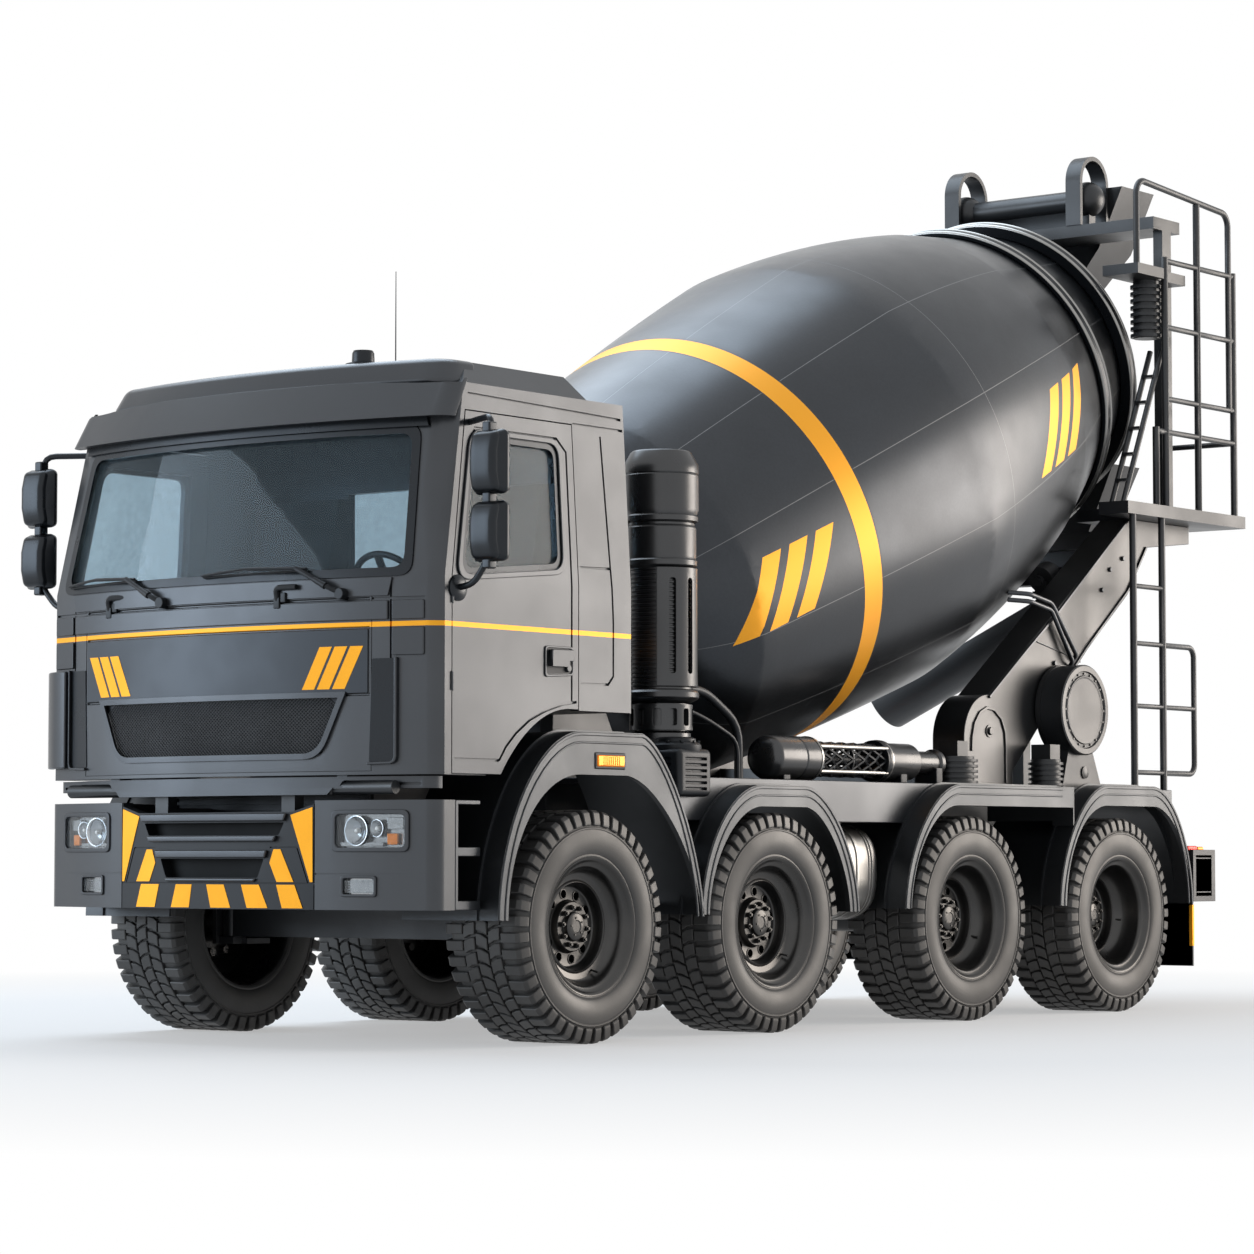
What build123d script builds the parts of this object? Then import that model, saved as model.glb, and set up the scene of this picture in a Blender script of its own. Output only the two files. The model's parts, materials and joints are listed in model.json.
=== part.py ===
from build123d import *
import math
import os

# Four-axle concrete mixer truck. Millimetres, +Z up, the cab faces -Y and the vehicle's left side is +X.
# Everything is drawn with y = 0 at the first axle; save() moves it so that the vehicle's length is centred.

# ---- driving dimensions ----
FRONT_END = -1150            # middle of the bowed front
REAR_END = 6290              # rear edge of the service platform
AXLES = (0, 1420, 3150, 4640)
STEERED = 2                  # the first two axles steer
TYRE_DIAMETER = 1050
TYRE_WIDTH = 445
WIDTH_OVER_TYRES = 2550
RIM_RADIUS = 300
CAB_WIDTH = 2400
CAB_REAR = 370
FIT = 0.3                    # seated pieces that do not move against each other
RUNNING = 0.05               # radial clearance of a pin or shaft in its bore
GAP = 6                      # open joint round a door

WHEEL_Z = TYRE_DIAMETER / 2
WHEEL_X = (WIDTH_OVER_TYRES - TYRE_WIDTH) / 2

# ---- chassis ----
RAIL_IN = 350
RAIL_OUT = 430
RAIL_BOTTOM = 780
RAIL_TOP = 1060
RAIL_FRONT = -1060
RAIL_REAR = 5650
SUBFRAME_FRONT = 700
DECK_BOTTOM = 1190
DECK_TOP = 1215
DECK_FRONT = 680
GEARBOX_REAR = 760
DECK_REAR = 5410
TOW_Z = 940
TOW_REACH = 60               # towing eye behind the rails
TOW_RADIUS = 20.5
SKIRT_IN = 1120
SKIRT_OUT = 1150
SKIRT_BOTTOM = 1010

# ---- axles and wheels ----
BEAM_HALF = 68
BEAM_DEPTH = 110
KINGPIN_X = 950
KINGPIN_RADIUS = 22
EYE_RADIUS = 48
EAR_THICKNESS = 35
EAR_GAP = 2
STUB_RADIUS = 45
HUB_RADIUS = 95
DISC_THICKNESS = 14
BARREL_THICKNESS = 12
RIM_WIDTH = 392
YOKE_CLEARANCE = 6
WEB_THICKNESS = 26
HUB_CLEARANCE = 5
# offset of each axle's wheel disc from the wheel's middle plane, outwards
DISC_OFFSET = (60, 60, 10, -20)
HOUSING_RADIUS = 75
HOUSING_END = 900
SPRING_WIDTH = 80
SPRING_LEAF = 15

# ---- cab ----
CAB_WALL = 50
SKIN = 25                    # thickness of the outer panels that hang on the cab's front wall
CAB_FRONT = -1000            # y of the front corners at the waist
BOW = 150                    # how far the front's middle stands ahead of its corners
CORNER = 55
CAB_BOTTOM = 1195
FLOOR_BOTTOM = 1500
FLOOR_TOP = 1540
FOOTWELL_REAR = -640
BELT_Z = 2060
ROOF_Z = 2920
ROOF_HALF = 1150
ROOF_SETBACK = 180
POD_TOP = 3040
FLAP_BOTTOM = 1210
FLAP_HALF = 880
GLASS = 6
GLASS_INSET = 18
DOOR_FRONT = -900
DOOR_REAR = -13
DOOR_TOP = 2800
DOOR_PILLAR = 135             # how far the door's front edge leans back up to its top
VISOR_BOTTOM = 2750
VISOR_DEPTH = 45
VISOR_REAR = -800
HINGES = ((1560, 1600, 1640), (1940, 1980, 2020))   # foot, joint and top of each door hinge
HINGE_X = 1202
HINGE_RADIUS = 7
HINGE_PIN = 4
HINGE_ROOM = 3
TILT_Y = -1035
TILT_Z = 1140
TILT_RADIUS = 30

# ---- wheel arches, from each axle: front foot, front shoulder, rear shoulder, rear foot, top z,
# ---- roundness of the front and rear legs (2 is an ellipse, 1 a straight slope)
ARCH_OPENINGS = (
    (-600, -90, 250, 810, 1207, 2.0, 1.55),
    (-545, -130, 240, 612, 1079, 1.8, 1.65),
    (-575, -150, 995, 995, 1103, 1.8, 1.8),
    (-575, -150, 350, 758, 1117, 1.95, 1.9),
)
ARCH_FLARES = (
    (-672, -90, 360, 832, 1402, 1.85, 1.5),
    (-612, -130, 240, 692, 1182, 1.85, 1.7),
    (-633, -120, 995, 995, 1212, 1.75, 1.75),
    (-648, -150, 350, 778, 1228, 1.75, 1.85),
)
ARCH_FEET = (560, 570, 580, 580)
LEG_STEPS = 6                # spans of the curve up each leg of an arch
FENDER_OUT = 1275
FLANGE_IN = 1248             # the flange stands outside the tyre's tread
LINER_IN = 720
LINER = 10
LINER_GAP = 2                # between a liner and the deck or skirt round it
LINER_RISE = 20              # how far a driven wheel's liner lies outside the arch's opening
FENDER_SEAT = 10             # how far a fender's web overlaps the skirt it is bolted to
FENDER_WEB = 12
CAB_ARCH = 95                # room between the first fender and the cab over it

# ---- drum ----
DRUM_Y = 2399
DRUM_Z = 2428
DRUM_TILT = 22.53
MOUTH_S = 3750
MOUTH_RADIUS = 580
MOUTH_WALL = 50
MOUTH_DEPTH = 700
NOSE_S = -1420
FLANGE_RADIUS = 260
RINGS = ((2860, 955, 70), (3320, 870, 60))   # station, radius, width

# ---- rear structure ----
ROLLER_S = 2347               # station of the support rollers under the drum
ROLLER_SEAT = 1082            # drum radius there, with the room its taper needs
ROLLER_ANGLE = 31.6
ROLLER_RADIUS = 78
FOOT_RADIUS = 240
ARM_IN = 750
ARM_OUT = 950
PLATFORM_BOTTOM = 2750
PLATFORM_TOP = 2820
PLATFORM_FRONT = 5310
PLATFORM_IN = 600
PLATFORM_OUT = 1150
RAIL_X = 1100
TUBE = 20                    # radius of posts and ladder rails
BAR = 16                     # radius of the bars between posts
LOOP = 18                    # radius of the tall guard loop
GUARD_REAR = 6250
LEDGE_IN = 960
LEDGE_FRONT = 4950
COLUMN_Y = 5700
BRIDGE_Z = 4450
BRIDGE_TOP = 4520
HOOP_X = 420
HOOP_Y = 5750
HOOP_HALF = 160
HOOP_TOP = 4940
BELLOWS_X = 985
CHUTE_Y = 6095
CHUTE_PIN_Z = 2150
CHUTE_RADIUS = 180
CHUTE_WALL = 6
CHUTE_SLOPE = 25
CHUTE_REACH = 1150


# ---- small builders ----
def box(x0, x1, y0, y1, z0, z1):
    """A box between two opposite corners."""
    return Pos((x0 + x1) / 2, (y0 + y1) / 2, (z0 + z1) / 2) * Box(x1 - x0, y1 - y0, z1 - z0)


def prism_x(points, x0, x1):
    """An outline of (y, z) points, extruded from x0 to x1."""
    return extrude(Plane.YZ.offset(x0) * make_face(Polyline(*points, close=True)), x1 - x0)


def prism_y(points, y0, y1):
    """An outline of (x, z) points, extruded from y0 to y1."""
    return extrude(Plane.XZ.offset(-y0) * make_face(Polyline(*points, close=True)), y0 - y1)


def rod(start, end, radius):
    """A round bar between two points."""
    way = Vector(*end) - Vector(*start)
    return extrude(Plane(origin=start, z_dir=way) * Circle(radius), way.length)


def tube(points, radius, bend):
    """A round bar along straight runs joined by tangent bends."""
    path = FilletPolyline(*points, radius=bend)
    return sweep(Plane(origin=path @ 0, z_dir=path % 0) * Circle(radius), path=path)


def both_sides(shape):
    """The shape and its mirror image on the other side of the vehicle."""
    return group(shape, mirror(shape, about=Plane.YZ))


def group(*shapes):
    """Separate solids kept in one sub-part."""
    return Compound([solid for shape in shapes for solid in shape.solids()])


def save(name, shape):
    """Write one sub-part, moved so that the vehicle's length is centred."""
    export_step(Pos(0, -(FRONT_END + REAR_END) / 2, 0) * shape, f"parts/{name}.step")


# ---- wheels, knuckles and axles ----
def wheel_at(shape, axle, side):
    """Put a wheel piece, drawn along +X about the origin, on an axle end."""
    placed = Pos(WHEEL_X, AXLES[axle], WHEEL_Z) * shape
    return placed if side > 0 else mirror(placed, about=Plane.YZ)


def tyre():
    half = TYRE_WIDTH / 2
    radius = TYRE_DIAMETER / 2
    bead = RIM_WIDTH / 2
    shoulder = half - 12
    tread = half - 32
    outline = Line((-bead, RIM_RADIUS), (bead, RIM_RADIUS))
    outline += ThreePointArc((bead, RIM_RADIUS), (half, RIM_RADIUS + 105), (shoulder, radius - 28))
    outline += Polyline((shoulder, radius - 28), (tread, radius), (-tread, radius), (-shoulder, radius - 28))
    outline += ThreePointArc((-shoulder, radius - 28), (-half, RIM_RADIUS + 105), (-bead, RIM_RADIUS))
    return revolve(make_face(outline), Axis.X)


def rim(axle):
    """Barrel, dished disc and hub in one piece, with a blind bore for the stub axle."""
    disc = DISC_OFFSET[axle]
    back = (KINGPIN_X + EYE_RADIUS + YOKE_CLEARANCE + WEB_THICKNESS if axle < STEERED else HOUSING_END)
    back += HUB_CLEARANCE - WHEEL_X
    outer = RIM_RADIUS - FIT
    inner = outer - BARREL_THICKNESS
    half = RIM_WIDTH / 2
    bore = STUB_RADIUS + RUNNING
    outline = Polyline(
        (back, bore), (disc + 40, bore), (disc + 40, 0), (disc + 75, 0), (disc + 75, 60),
        (disc + 50, HUB_RADIUS),
        (disc, HUB_RADIUS), (disc, inner), (half, inner), (half, outer), (-half, outer), (-half, inner),
        (disc - DISC_THICKNESS, inner), (disc - DISC_THICKNESS, HUB_RADIUS), (back, HUB_RADIUS), close=True)
    wheel = revolve(make_face(outline), Axis.X)
    holes = [Rot(36 * i, 0, 0) * Pos(disc, 0, 195) * Rot(0, 90, 0) * Cylinder(24, 100) for i in range(10)]
    return wheel - holes


def stub_end(axle):
    """Outer end of the stub axle, just short of the bore's end."""
    return WHEEL_X + DISC_OFFSET[axle] + 35


def knuckle(axle):
    """Yoke, kingpin, steering arm and stub axle of a left wheel."""
    y = AXLES[axle]
    high = BEAM_HALF + EAR_GAP + EAR_THICKNESS
    low = BEAM_HALF + EAR_GAP
    web = KINGPIN_X + EYE_RADIUS + YOKE_CLEARANCE
    body = box(web, web + WEB_THICKNESS, y - 60, y + 60, WHEEL_Z - high, WHEEL_Z + high)
    for z0, z1 in ((low, high), (-high, -low)):
        body += box(KINGPIN_X - 45, web + WEB_THICKNESS, y - 45, y + 45, WHEEL_Z + z0, WHEEL_Z + z1)
    body += box(KINGPIN_X - 85, KINGPIN_X - 35, y + 40, y + 170, WHEEL_Z - high, WHEEL_Z - low - 8)
    body += box(KINGPIN_X - 85, KINGPIN_X, y + 10, y + 45, WHEEL_Z - high, WHEEL_Z - low - 8)
    body += rod((KINGPIN_X, y, WHEEL_Z - high), (KINGPIN_X, y, WHEEL_Z + high), KINGPIN_RADIUS)
    body += rod((web, y, WHEEL_Z), (stub_end(axle), y, WHEEL_Z), STUB_RADIUS)
    return body


def front_axles():
    """A forged beam for each steered axle, with an eye for each kingpin."""
    beams = []
    for y in AXLES[:STEERED]:
        beam = box(-KINGPIN_X, KINGPIN_X, y - BEAM_DEPTH / 2, y + BEAM_DEPTH / 2, WHEEL_Z - BEAM_HALF,
                   WHEEL_Z + BEAM_HALF)
        for x in (-KINGPIN_X, KINGPIN_X):
            beam -= box(x - EYE_RADIUS, x + EYE_RADIUS, y - 90, y + 90, WHEEL_Z - 90, WHEEL_Z + 90)
            eye = rod((x, y, WHEEL_Z - BEAM_HALF), (x, y, WHEEL_Z + BEAM_HALF), EYE_RADIUS)
            neck = x - math.copysign(EYE_RADIUS, x)
            eye += box(min(x, neck), max(x, neck), y - 35, y + 35, WHEEL_Z - BEAM_HALF, WHEEL_Z + BEAM_HALF)
            beam += eye
        for x in (-KINGPIN_X, KINGPIN_X):
            beam -= rod((x, y, 0), (x, y, 2 * WHEEL_Z), KINGPIN_RADIUS + RUNNING)
        beams.append(beam)
    return group(*beams)


def rear_axles():
    """Two driven axle housings and the propeller shafts that reach them."""
    first, second = AXLES[STEERED:]
    housings = None
    for axle, y in enumerate(AXLES[STEERED:], STEERED):
        end = stub_end(axle)
        housing = rod((-HOUSING_END, y, WHEEL_Z), (HOUSING_END, y, WHEEL_Z), HOUSING_RADIUS)
        housing += rod((-end, y, WHEEL_Z), (end, y, WHEEL_Z), STUB_RADIUS)
        housing += Pos(0, y, WHEEL_Z) * Sphere(190)
        housings = housing if housings is None else housings + housing
    shafts = rod((0, GEARBOX_REAR + 15, 820), (0, first, WHEEL_Z + 60), 45)
    shafts += rod((0, first, WHEEL_Z + 60), (0, second, WHEEL_Z + 40), 45)
    return housings + shafts


def leaf_springs():
    """A stack of leaves over each axle end, with hangers up to the rail."""
    x0, x1 = RAIL_IN, RAIL_IN + SPRING_WIDTH
    stacks = []
    for axle, y in enumerate(AXLES):
        seat = WHEEL_Z + (BEAM_HALF if axle < STEERED else HOUSING_RADIUS - 8)
        top = seat + 4 * SPRING_LEAF
        stack = box(x0, x1, y - 60, y + 60, seat - (0 if axle < STEERED else 12), top)
        for level, half in ((3, 600), (2, 450), (1, 300)):
            foot = seat + level * SPRING_LEAF
            stack += box(x0, x1, y - half, y + half, foot, foot + SPRING_LEAF)
        for end in (-600, 540):
            stack += box(x0, x1, y + end, y + end + 60, top, RAIL_BOTTOM)
        if axle >= STEERED:
            stack -= rod((0, y, WHEEL_Z), (HOUSING_END, y, WHEEL_Z), HOUSING_RADIUS)
        stacks.append(both_sides(stack))
    return group(*stacks)


# ---- frame ----
def frame():
    """Two rails, the mixer's subframe on them, crossmembers, cab mounts and the tilt tube."""
    body = None
    for side in (-1, 1):
        x0, x1 = sorted((side * RAIL_IN, side * RAIL_OUT))
        rail = box(x0, x1, RAIL_FRONT, RAIL_REAR, RAIL_BOTTOM, RAIL_TOP)
        rail += box(x0, x1, SUBFRAME_FRONT, RAIL_REAR, RAIL_TOP, DECK_BOTTOM)
        rail += box(x0, x1, 180, 280, RAIL_TOP, FLOOR_BOTTOM - FIT)
        rail += box(x0, x1, RAIL_FRONT, TILT_Y + 35, RAIL_TOP, TILT_Z)
        body = rail if body is None else body + rail
    for y in (RAIL_FRONT, 900, 2150, 3860, RAIL_REAR - 90):
        body += box(-RAIL_IN, RAIL_IN, y, y + 90, 860, 1020)
    body += box(-RAIL_IN, RAIL_IN, RAIL_REAR - 90, RAIL_REAR, 1020, DECK_BOTTOM)
    body += rod((-1000, TILT_Y, TILT_Z), (1000, TILT_Y, TILT_Z), TILT_RADIUS)
    tow = box(-70, 70, RAIL_REAR - 5, RAIL_REAR + TOW_REACH + 50, TOW_Z - 20, TOW_Z + 20)
    tow -= rod((0, RAIL_REAR + TOW_REACH, 0), (0, RAIL_REAR + TOW_REACH, 2 * TOW_Z), TOW_RADIUS)
    return body + tow


def engine():
    """Engine and gearbox as one plain mass on four mounts."""
    block = box(-320, 320, -550, 380, 640, 1380)
    block += box(-200, 200, 380, GEARBOX_REAR, 680, 1040)
    block += rod((0, GEARBOX_REAR - 5, 820), (0, GEARBOX_REAR + 5, 820), 90)
    for y in (-420, 200):
        block += box(-RAIL_IN, RAIL_IN, y, y + 100, 900, 1000)
    return block


# ---- cab ----
def cab_section(z, inset):
    """The cab's plan outline at a height: straight sides, chamfered corners and a bowed front."""
    rise = max(0, (z - BELT_Z) / (ROOF_Z - BELT_Z))
    half = CAB_WIDTH / 2 + (ROOF_HALF - CAB_WIDTH / 2) * rise - inset
    front = CAB_FRONT + ROOF_SETBACK * rise + inset
    rear = CAB_REAR - inset
    sides = Polyline((half - CORNER, front), (half, front + CORNER), (half, rear), (-half, rear),
                     (-half, front + CORNER), (CORNER - half, front))
    face = ThreePointArc((CORNER - half, front), (0, front - BOW), (half - CORNER, front))
    return Pos(0, 0, z) * make_face(sides + face)


def cab_block(inset, bottom, top):
    """The cab's outer form, shrunk by an inset, between two heights."""
    block = extrude(cab_section(bottom, inset), BELT_Z - bottom) if bottom < BELT_Z else None
    upper = loft([cab_section(max(BELT_Z, bottom), inset), cab_section(top, inset)], ruled=True)
    return upper if block is None else block + upper


def arch_leg(foot, shoulder, foot_z, top_z, roundness):
    """A curve from an arch's foot, which it leaves upright, to its level top."""
    points = []
    for step in range(LEG_STEPS + 1):
        turn = math.pi / 2 * step / LEG_STEPS
        along = max(math.cos(turn), 0) ** (2 / roundness)
        rise = math.sin(turn) ** (2 / roundness)
        points.append((shoulder + (foot - shoulder) * along, foot_z + (top_z - foot_z) * rise))
    return Spline(*points)


def arch_outline(arches, axle, grow):
    """A wheel arch as a face in the YZ plane, grown all round; a leg under its own shoulder is straight."""
    front, front_top, rear_top, rear, top_z, front_round, rear_round = arches[axle]
    y, foot_z, top = AXLES[axle], ARCH_FEET[axle], top_z + grow
    front, rear = y + front - grow, y + rear + grow
    square = rear_top == rear - y - grow
    corner = rear if square else y + rear_top
    edges = [arch_leg(front, y + front_top, foot_z, top, front_round)]
    edges += [Line((y + front_top, top), (corner, top))]
    if square:
        edges += [Line((rear, top), (rear, foot_z))]
    else:
        edges += [arch_leg(rear, y + rear_top, foot_z, top, rear_round)]
    edges += [Polyline((rear, foot_z), (rear, foot_z - 200), (front, foot_z - 200), (front, foot_z))]
    return Plane.YZ * make_face(edges)


def arch_cut(arches, axle, grow, x0, x1):
    """The arch's outline as a cutter that runs from x0 to x1."""
    return Pos(x0, 0, 0) * extrude(arch_outline(arches, axle, grow), x1 - x0)


WINDSCREEN = ((-1040, 2090), (1040, 2090), (985, 2700), (-985, 2700))
DOOR_WINDOW = ((-840, 2070), (-137, 2135), (-137, 2690), (-715, 2690))
REAR_WINDOW = ((-500, 2150), (500, 2150), (500, 2600), (-500, 2600))
GRILLE = ((-630, 1290), (630, 1290), (740, 1540), (-740, 1540))


def grown(points, amount):
    """An outline moved outwards from its centre by an amount on each axis."""
    cu = sum(u for u, v in points) / len(points)
    cv = sum(v for u, v in points) / len(points)
    return [(u + amount * math.copysign(1, u - cu), v + amount * math.copysign(1, v - cv)) for u, v in points]


def door_blank(gap):
    """The space of a left door, from outside the skin to inside the wall."""
    outline = ((DOOR_FRONT + gap, CAB_BOTTOM + gap), (DOOR_REAR - gap, CAB_BOTTOM + gap),
               (DOOR_REAR - gap, DOOR_TOP - gap), (DOOR_FRONT + DOOR_PILLAR + gap, DOOR_TOP - gap),
               (DOOR_FRONT + gap, BELT_Z))
    blank = prism_x(outline, 1000, 1300)
    return blank - arch_cut(ARCH_FLARES, 0, CAB_ARCH + gap, 900, 1400)


def hinge_rods(radius, part, grow=0):
    """Rods on the left door's hinge line: the body's lower halves, the door's upper halves or the pins."""
    rods = None
    y = DOOR_FRONT + GAP / 2
    for foot, joint, top in HINGES:
        low, high = {"body": (foot, joint), "door": (joint + 1, top), "pin": (joint, top)}[part]
        piece = rod((HINGE_X, y, low - grow), (HINGE_X, y, high + grow), radius)
        rods = piece if rods is None else rods + piece
    return rods


def hollow_cab():
    """The whole cab as a wall of one thickness, before its panels are parted."""
    wall = cab_block(0, CAB_BOTTOM, ROOF_Z)
    wall -= cab_block(CAB_WALL, FLOOR_TOP, ROOF_Z - CAB_WALL)
    footwell = extrude(cab_section(CAB_BOTTOM + 40, CAB_WALL), FLOOR_TOP - CAB_BOTTOM)
    wall -= footwell & box(-1300, 1300, -1300, FOOTWELL_REAR, CAB_BOTTOM, FLOOR_TOP + 50)
    inner = CAB_WIDTH / 2 - CAB_WALL
    wall -= box(-inner, inner, FOOTWELL_REAR + 40, CAB_REAR + 10, CAB_BOTTOM - 5, FLOOR_BOTTOM)
    return wall


def cab_front_zone(margin):
    """Where the outer front panel hangs on the cab's front wall."""
    zone = cab_block(-80, FLAP_BOTTOM, ROOF_Z) - cab_block(SKIN + margin, FLAP_BOTTOM - 10, ROOF_Z + 10)
    half = FLAP_HALF + 10 * margin
    return zone & box(-half, half, -1400, -900, FLAP_BOTTOM, BELT_Z - 10)


def cab_shell(wall):
    shell = wall - cab_front_zone(FIT)
    doorway = door_blank(0) - cab_block(CAB_WALL + GAP, CAB_BOTTOM - 5, ROOF_Z)
    doorway += hinge_rods(HINGE_RADIUS + HINGE_ROOM, "door", HINGE_ROOM)
    shell -= both_sides(doorway)
    shell += both_sides(hinge_rods(HINGE_RADIUS, "body") + hinge_rods(HINGE_PIN, "pin"))
    for x0 in (-1400, 900):
        shell -= arch_cut(ARCH_FLARES, 0, CAB_ARCH, x0, x0 + 500)
    shell -= prism_y(WINDSCREEN, -1400, -700)
    shell -= prism_y(REAR_WINDOW, CAB_REAR - 100, CAB_REAR + 10)
    base = Pos(0, 0, ROOF_Z) * Pos(0, -250, 0) * Rectangle(2 * ROOF_HALF - 120, 900)
    lid = Pos(0, 0, POD_TOP) * Pos(0, -230, 0) * Rectangle(2 * ROOF_HALF - 300, 700)
    pod = loft([base, lid], ruled=True)
    shell += pod - box(-850, 850, -500, 40, ROOF_Z - 60, POD_TOP - 40)
    for x in (-700, 700):
        shell += box(x - 30, x + 30, TILT_Y - 15, TILT_Y + 60, TILT_Z + TILT_RADIUS + FIT, CAB_BOTTOM + 5)
    return shell


def cab_front(wall):
    """The outer front panel, from the windscreen's foot to below the grille."""
    panel = cab_block(0, FLAP_BOTTOM, ROOF_Z) - cab_block(SKIN, FLAP_BOTTOM - 10, ROOF_Z + 10)
    panel &= box(-FLAP_HALF, FLAP_HALF, -1400, -900, FLAP_BOTTOM, BELT_Z - 10 - GAP)
    return panel - prism_y(GRILLE, -1400, -900)


def cab_sheet(outline, inset, thickness, along):
    """A sheet that follows the cab's outer form inside an outline."""
    sheet = cab_block(inset, CAB_BOTTOM, ROOF_Z) - cab_block(inset + thickness, CAB_BOTTOM - 5, ROOF_Z + 5)
    return sheet & along(outline)


def grille():
    return cab_sheet(grown(GRILLE, -FIT), 8, SKIN - 8, lambda points: prism_y(points, -1400, -900))


def cab_glass():
    """Windscreen and rear window."""
    screen = grown(WINDSCREEN, -FIT)
    front = cab_sheet(screen, GLASS_INSET, GLASS, lambda points: prism_y(points, -1400, -700))
    rear = prism_y(grown(REAR_WINDOW, -FIT), CAB_REAR - 30, CAB_REAR - 30 + GLASS)
    return group(front, rear)


def sun_visor():
    visor = cab_block(-VISOR_DEPTH, BELT_Z, ROOF_Z) - cab_block(-FIT, BELT_Z - 5, ROOF_Z + 5)
    return visor & box(-1300, 1300, -1400, VISOR_REAR, VISOR_BOTTOM, ROOF_Z)


def door(wall):
    """Left door: the wall's own thickness, with its window cut and a handle."""
    leaf = wall & door_blank(GAP)
    leaf -= cab_block(CAB_WALL, CAB_BOTTOM - 5, ROOF_Z)
    leaf -= prism_x(DOOR_WINDOW, 1000, 1300)
    leaf -= hinge_rods(HINGE_RADIUS + HINGE_ROOM, "body", HINGE_ROOM)
    leaf += hinge_rods(HINGE_RADIUS, "door")
    leaf -= hinge_rods(HINGE_PIN + RUNNING, "pin", 1)
    leaf += box(CAB_WIDTH / 2, CAB_WIDTH / 2 + 25, -230, -110, 1690, 1730)
    return leaf


def door_glass():
    """Left door window."""
    return cab_sheet(grown(DOOR_WINDOW, -FIT), GLASS_INSET, GLASS, lambda points: prism_x(points, 1000, 1300))


def door_mirror():
    """Left mirrors: two housings on a bent arm that stands on the door."""
    arm = tube(((1190, -860, 2010), (1290, -860, 2010), (1390, -860, 2120), (1390, -860, 2745),
                (1150, -725, 2745)), 14, 30)
    heads = None
    for z0, z1 in ((2110, 2370), (2400, 2680)):
        head = fillet(box(1300, 1490, -940, -830, z0, z1).edges().filter_by(Axis.Z), 30)
        heads = head if heads is None else heads + head
    return (arm + heads) - cab_block(-FIT, CAB_BOTTOM, ROOF_Z)


def seats():
    """Driver's and passenger's seats on pedestals."""
    seat = box(380, 880, -430, 20, FLOOR_TOP + 260, FLOOR_TOP + 400)
    seat += prism_x(((-20, 1800), (130, 1800), (260, 2560), (140, 2560)), 400, 860)
    seat += box(480, 780, -330, -30, FLOOR_TOP, FLOOR_TOP + 260)
    return both_sides(seat)


def dashboard():
    """Dashboard across the cab with the steering column and wheel."""
    inside = cab_block(CAB_WALL + FIT, FLOOR_TOP, ROOF_Z - 100)
    board = box(-1100, 1100, -1200, -700, 1760, 2020) & inside
    column = rod((560, -760, 1900), (560, -560, 2020), 30)
    hub = Plane(origin=(560, -560, 2020), z_dir=(0, 200, 120))
    ring = hub * Torus(205, 15)
    spokes = hub * (Box(400, 36, 14) + Cylinder(55, 30))
    return board + column + ring + spokes


# ---- front end ----
LAMP = (720, 1060, 870, 1040)          # x0, x1, z0, z1 of a headlamp
FOG = (790, 960, 660, 745)
BUMPER_BOTTOM = 607
BUMPER_TOP = 1085
BUMPER_HALF = 1190
BUMPER_DEPTH = 140


def front_face(inset):
    """Plan outline of the bumper, bowed like the cab."""
    half = BUMPER_HALF - inset
    front = CAB_FRONT + inset
    back = Polyline((half - 40, front), (half, front + 40), (half, CAB_FRONT + 140), (-half, CAB_FRONT + 140),
                    (-half, front + 40), (40 - half, front))
    return make_face(back + ThreePointArc((40 - half, front), (0, front - BOW), (half - 40, front)))


def lamp_pockets(margin, depth):
    """Left lamp recesses, or with no margin the lamps themselves."""
    pockets = []
    for x0, x1, z0, z1 in (LAMP, FOG):
        block = box(x0 - margin, x1 + margin, -1300, -800, z0 - margin, z1 + margin)
        pockets.append(block - Pos(0, 0, 500) * extrude(front_face(depth), 700))
    return group(*pockets)


def bumper():
    body = Pos(0, 0, BUMPER_BOTTOM) * extrude(front_face(0), BUMPER_TOP - BUMPER_BOTTOM)
    core = Pos(0, 0, BUMPER_BOTTOM - 5) * extrude(front_face(60), BUMPER_TOP - BUMPER_BOTTOM + 10)
    body -= core & box(-1300, 1300, -1300, -930, 0, 2000)
    body += box(-BUMPER_HALF + 60, BUMPER_HALF - 60, -960, CAB_FRONT + 140, BUMPER_BOTTOM, BUMPER_TOP)
    body -= box(-RAIL_OUT - FIT, RAIL_OUT + FIT, RAIL_FRONT - FIT, 0, RAIL_BOTTOM - FIT, 2000)
    for z0, z1, half in ((960, 1030, 560), (800, 880, 420)):
        body -= prism_y(((-half + 40, z0), (half - 40, z0), (half, z1), (-half, z1)), -1300, -1010)
    for pocket in lamp_pockets(FIT, 50).solids():
        body -= pocket
        body -= mirror(pocket, about=Plane.YZ)
    return body


def lamps():
    """Head and fog lamps."""
    front = lamp_pockets(0, 50 - FIT) & Pos(0, 0, 500) * extrude(front_face(2), 700)
    return both_sides(front)


def cab_steps():
    """Two treads and a back panel below each door."""
    x0, x1 = RAIL_OUT + 350, BUMPER_HALF
    y0, y1 = CAB_FRONT + 142, -690
    step = box(x0, x1, y0, y1, BUMPER_BOTTOM, BUMPER_BOTTOM + 40)
    step += box(x0, x0 + 60, y0, y1, BUMPER_BOTTOM, BUMPER_TOP)
    step += box(x0, x1, y0, y1, 840, 880)
    step += box(x0, x1, y0, y1, BUMPER_TOP - 20, BUMPER_TOP)
    step += box(x0, x1, y0, y0 + 20, BUMPER_BOTTOM, BUMPER_TOP)
    step += box(RAIL_OUT, x0, y0, y0 + 80, 960, 1040)
    return both_sides(step)


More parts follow.
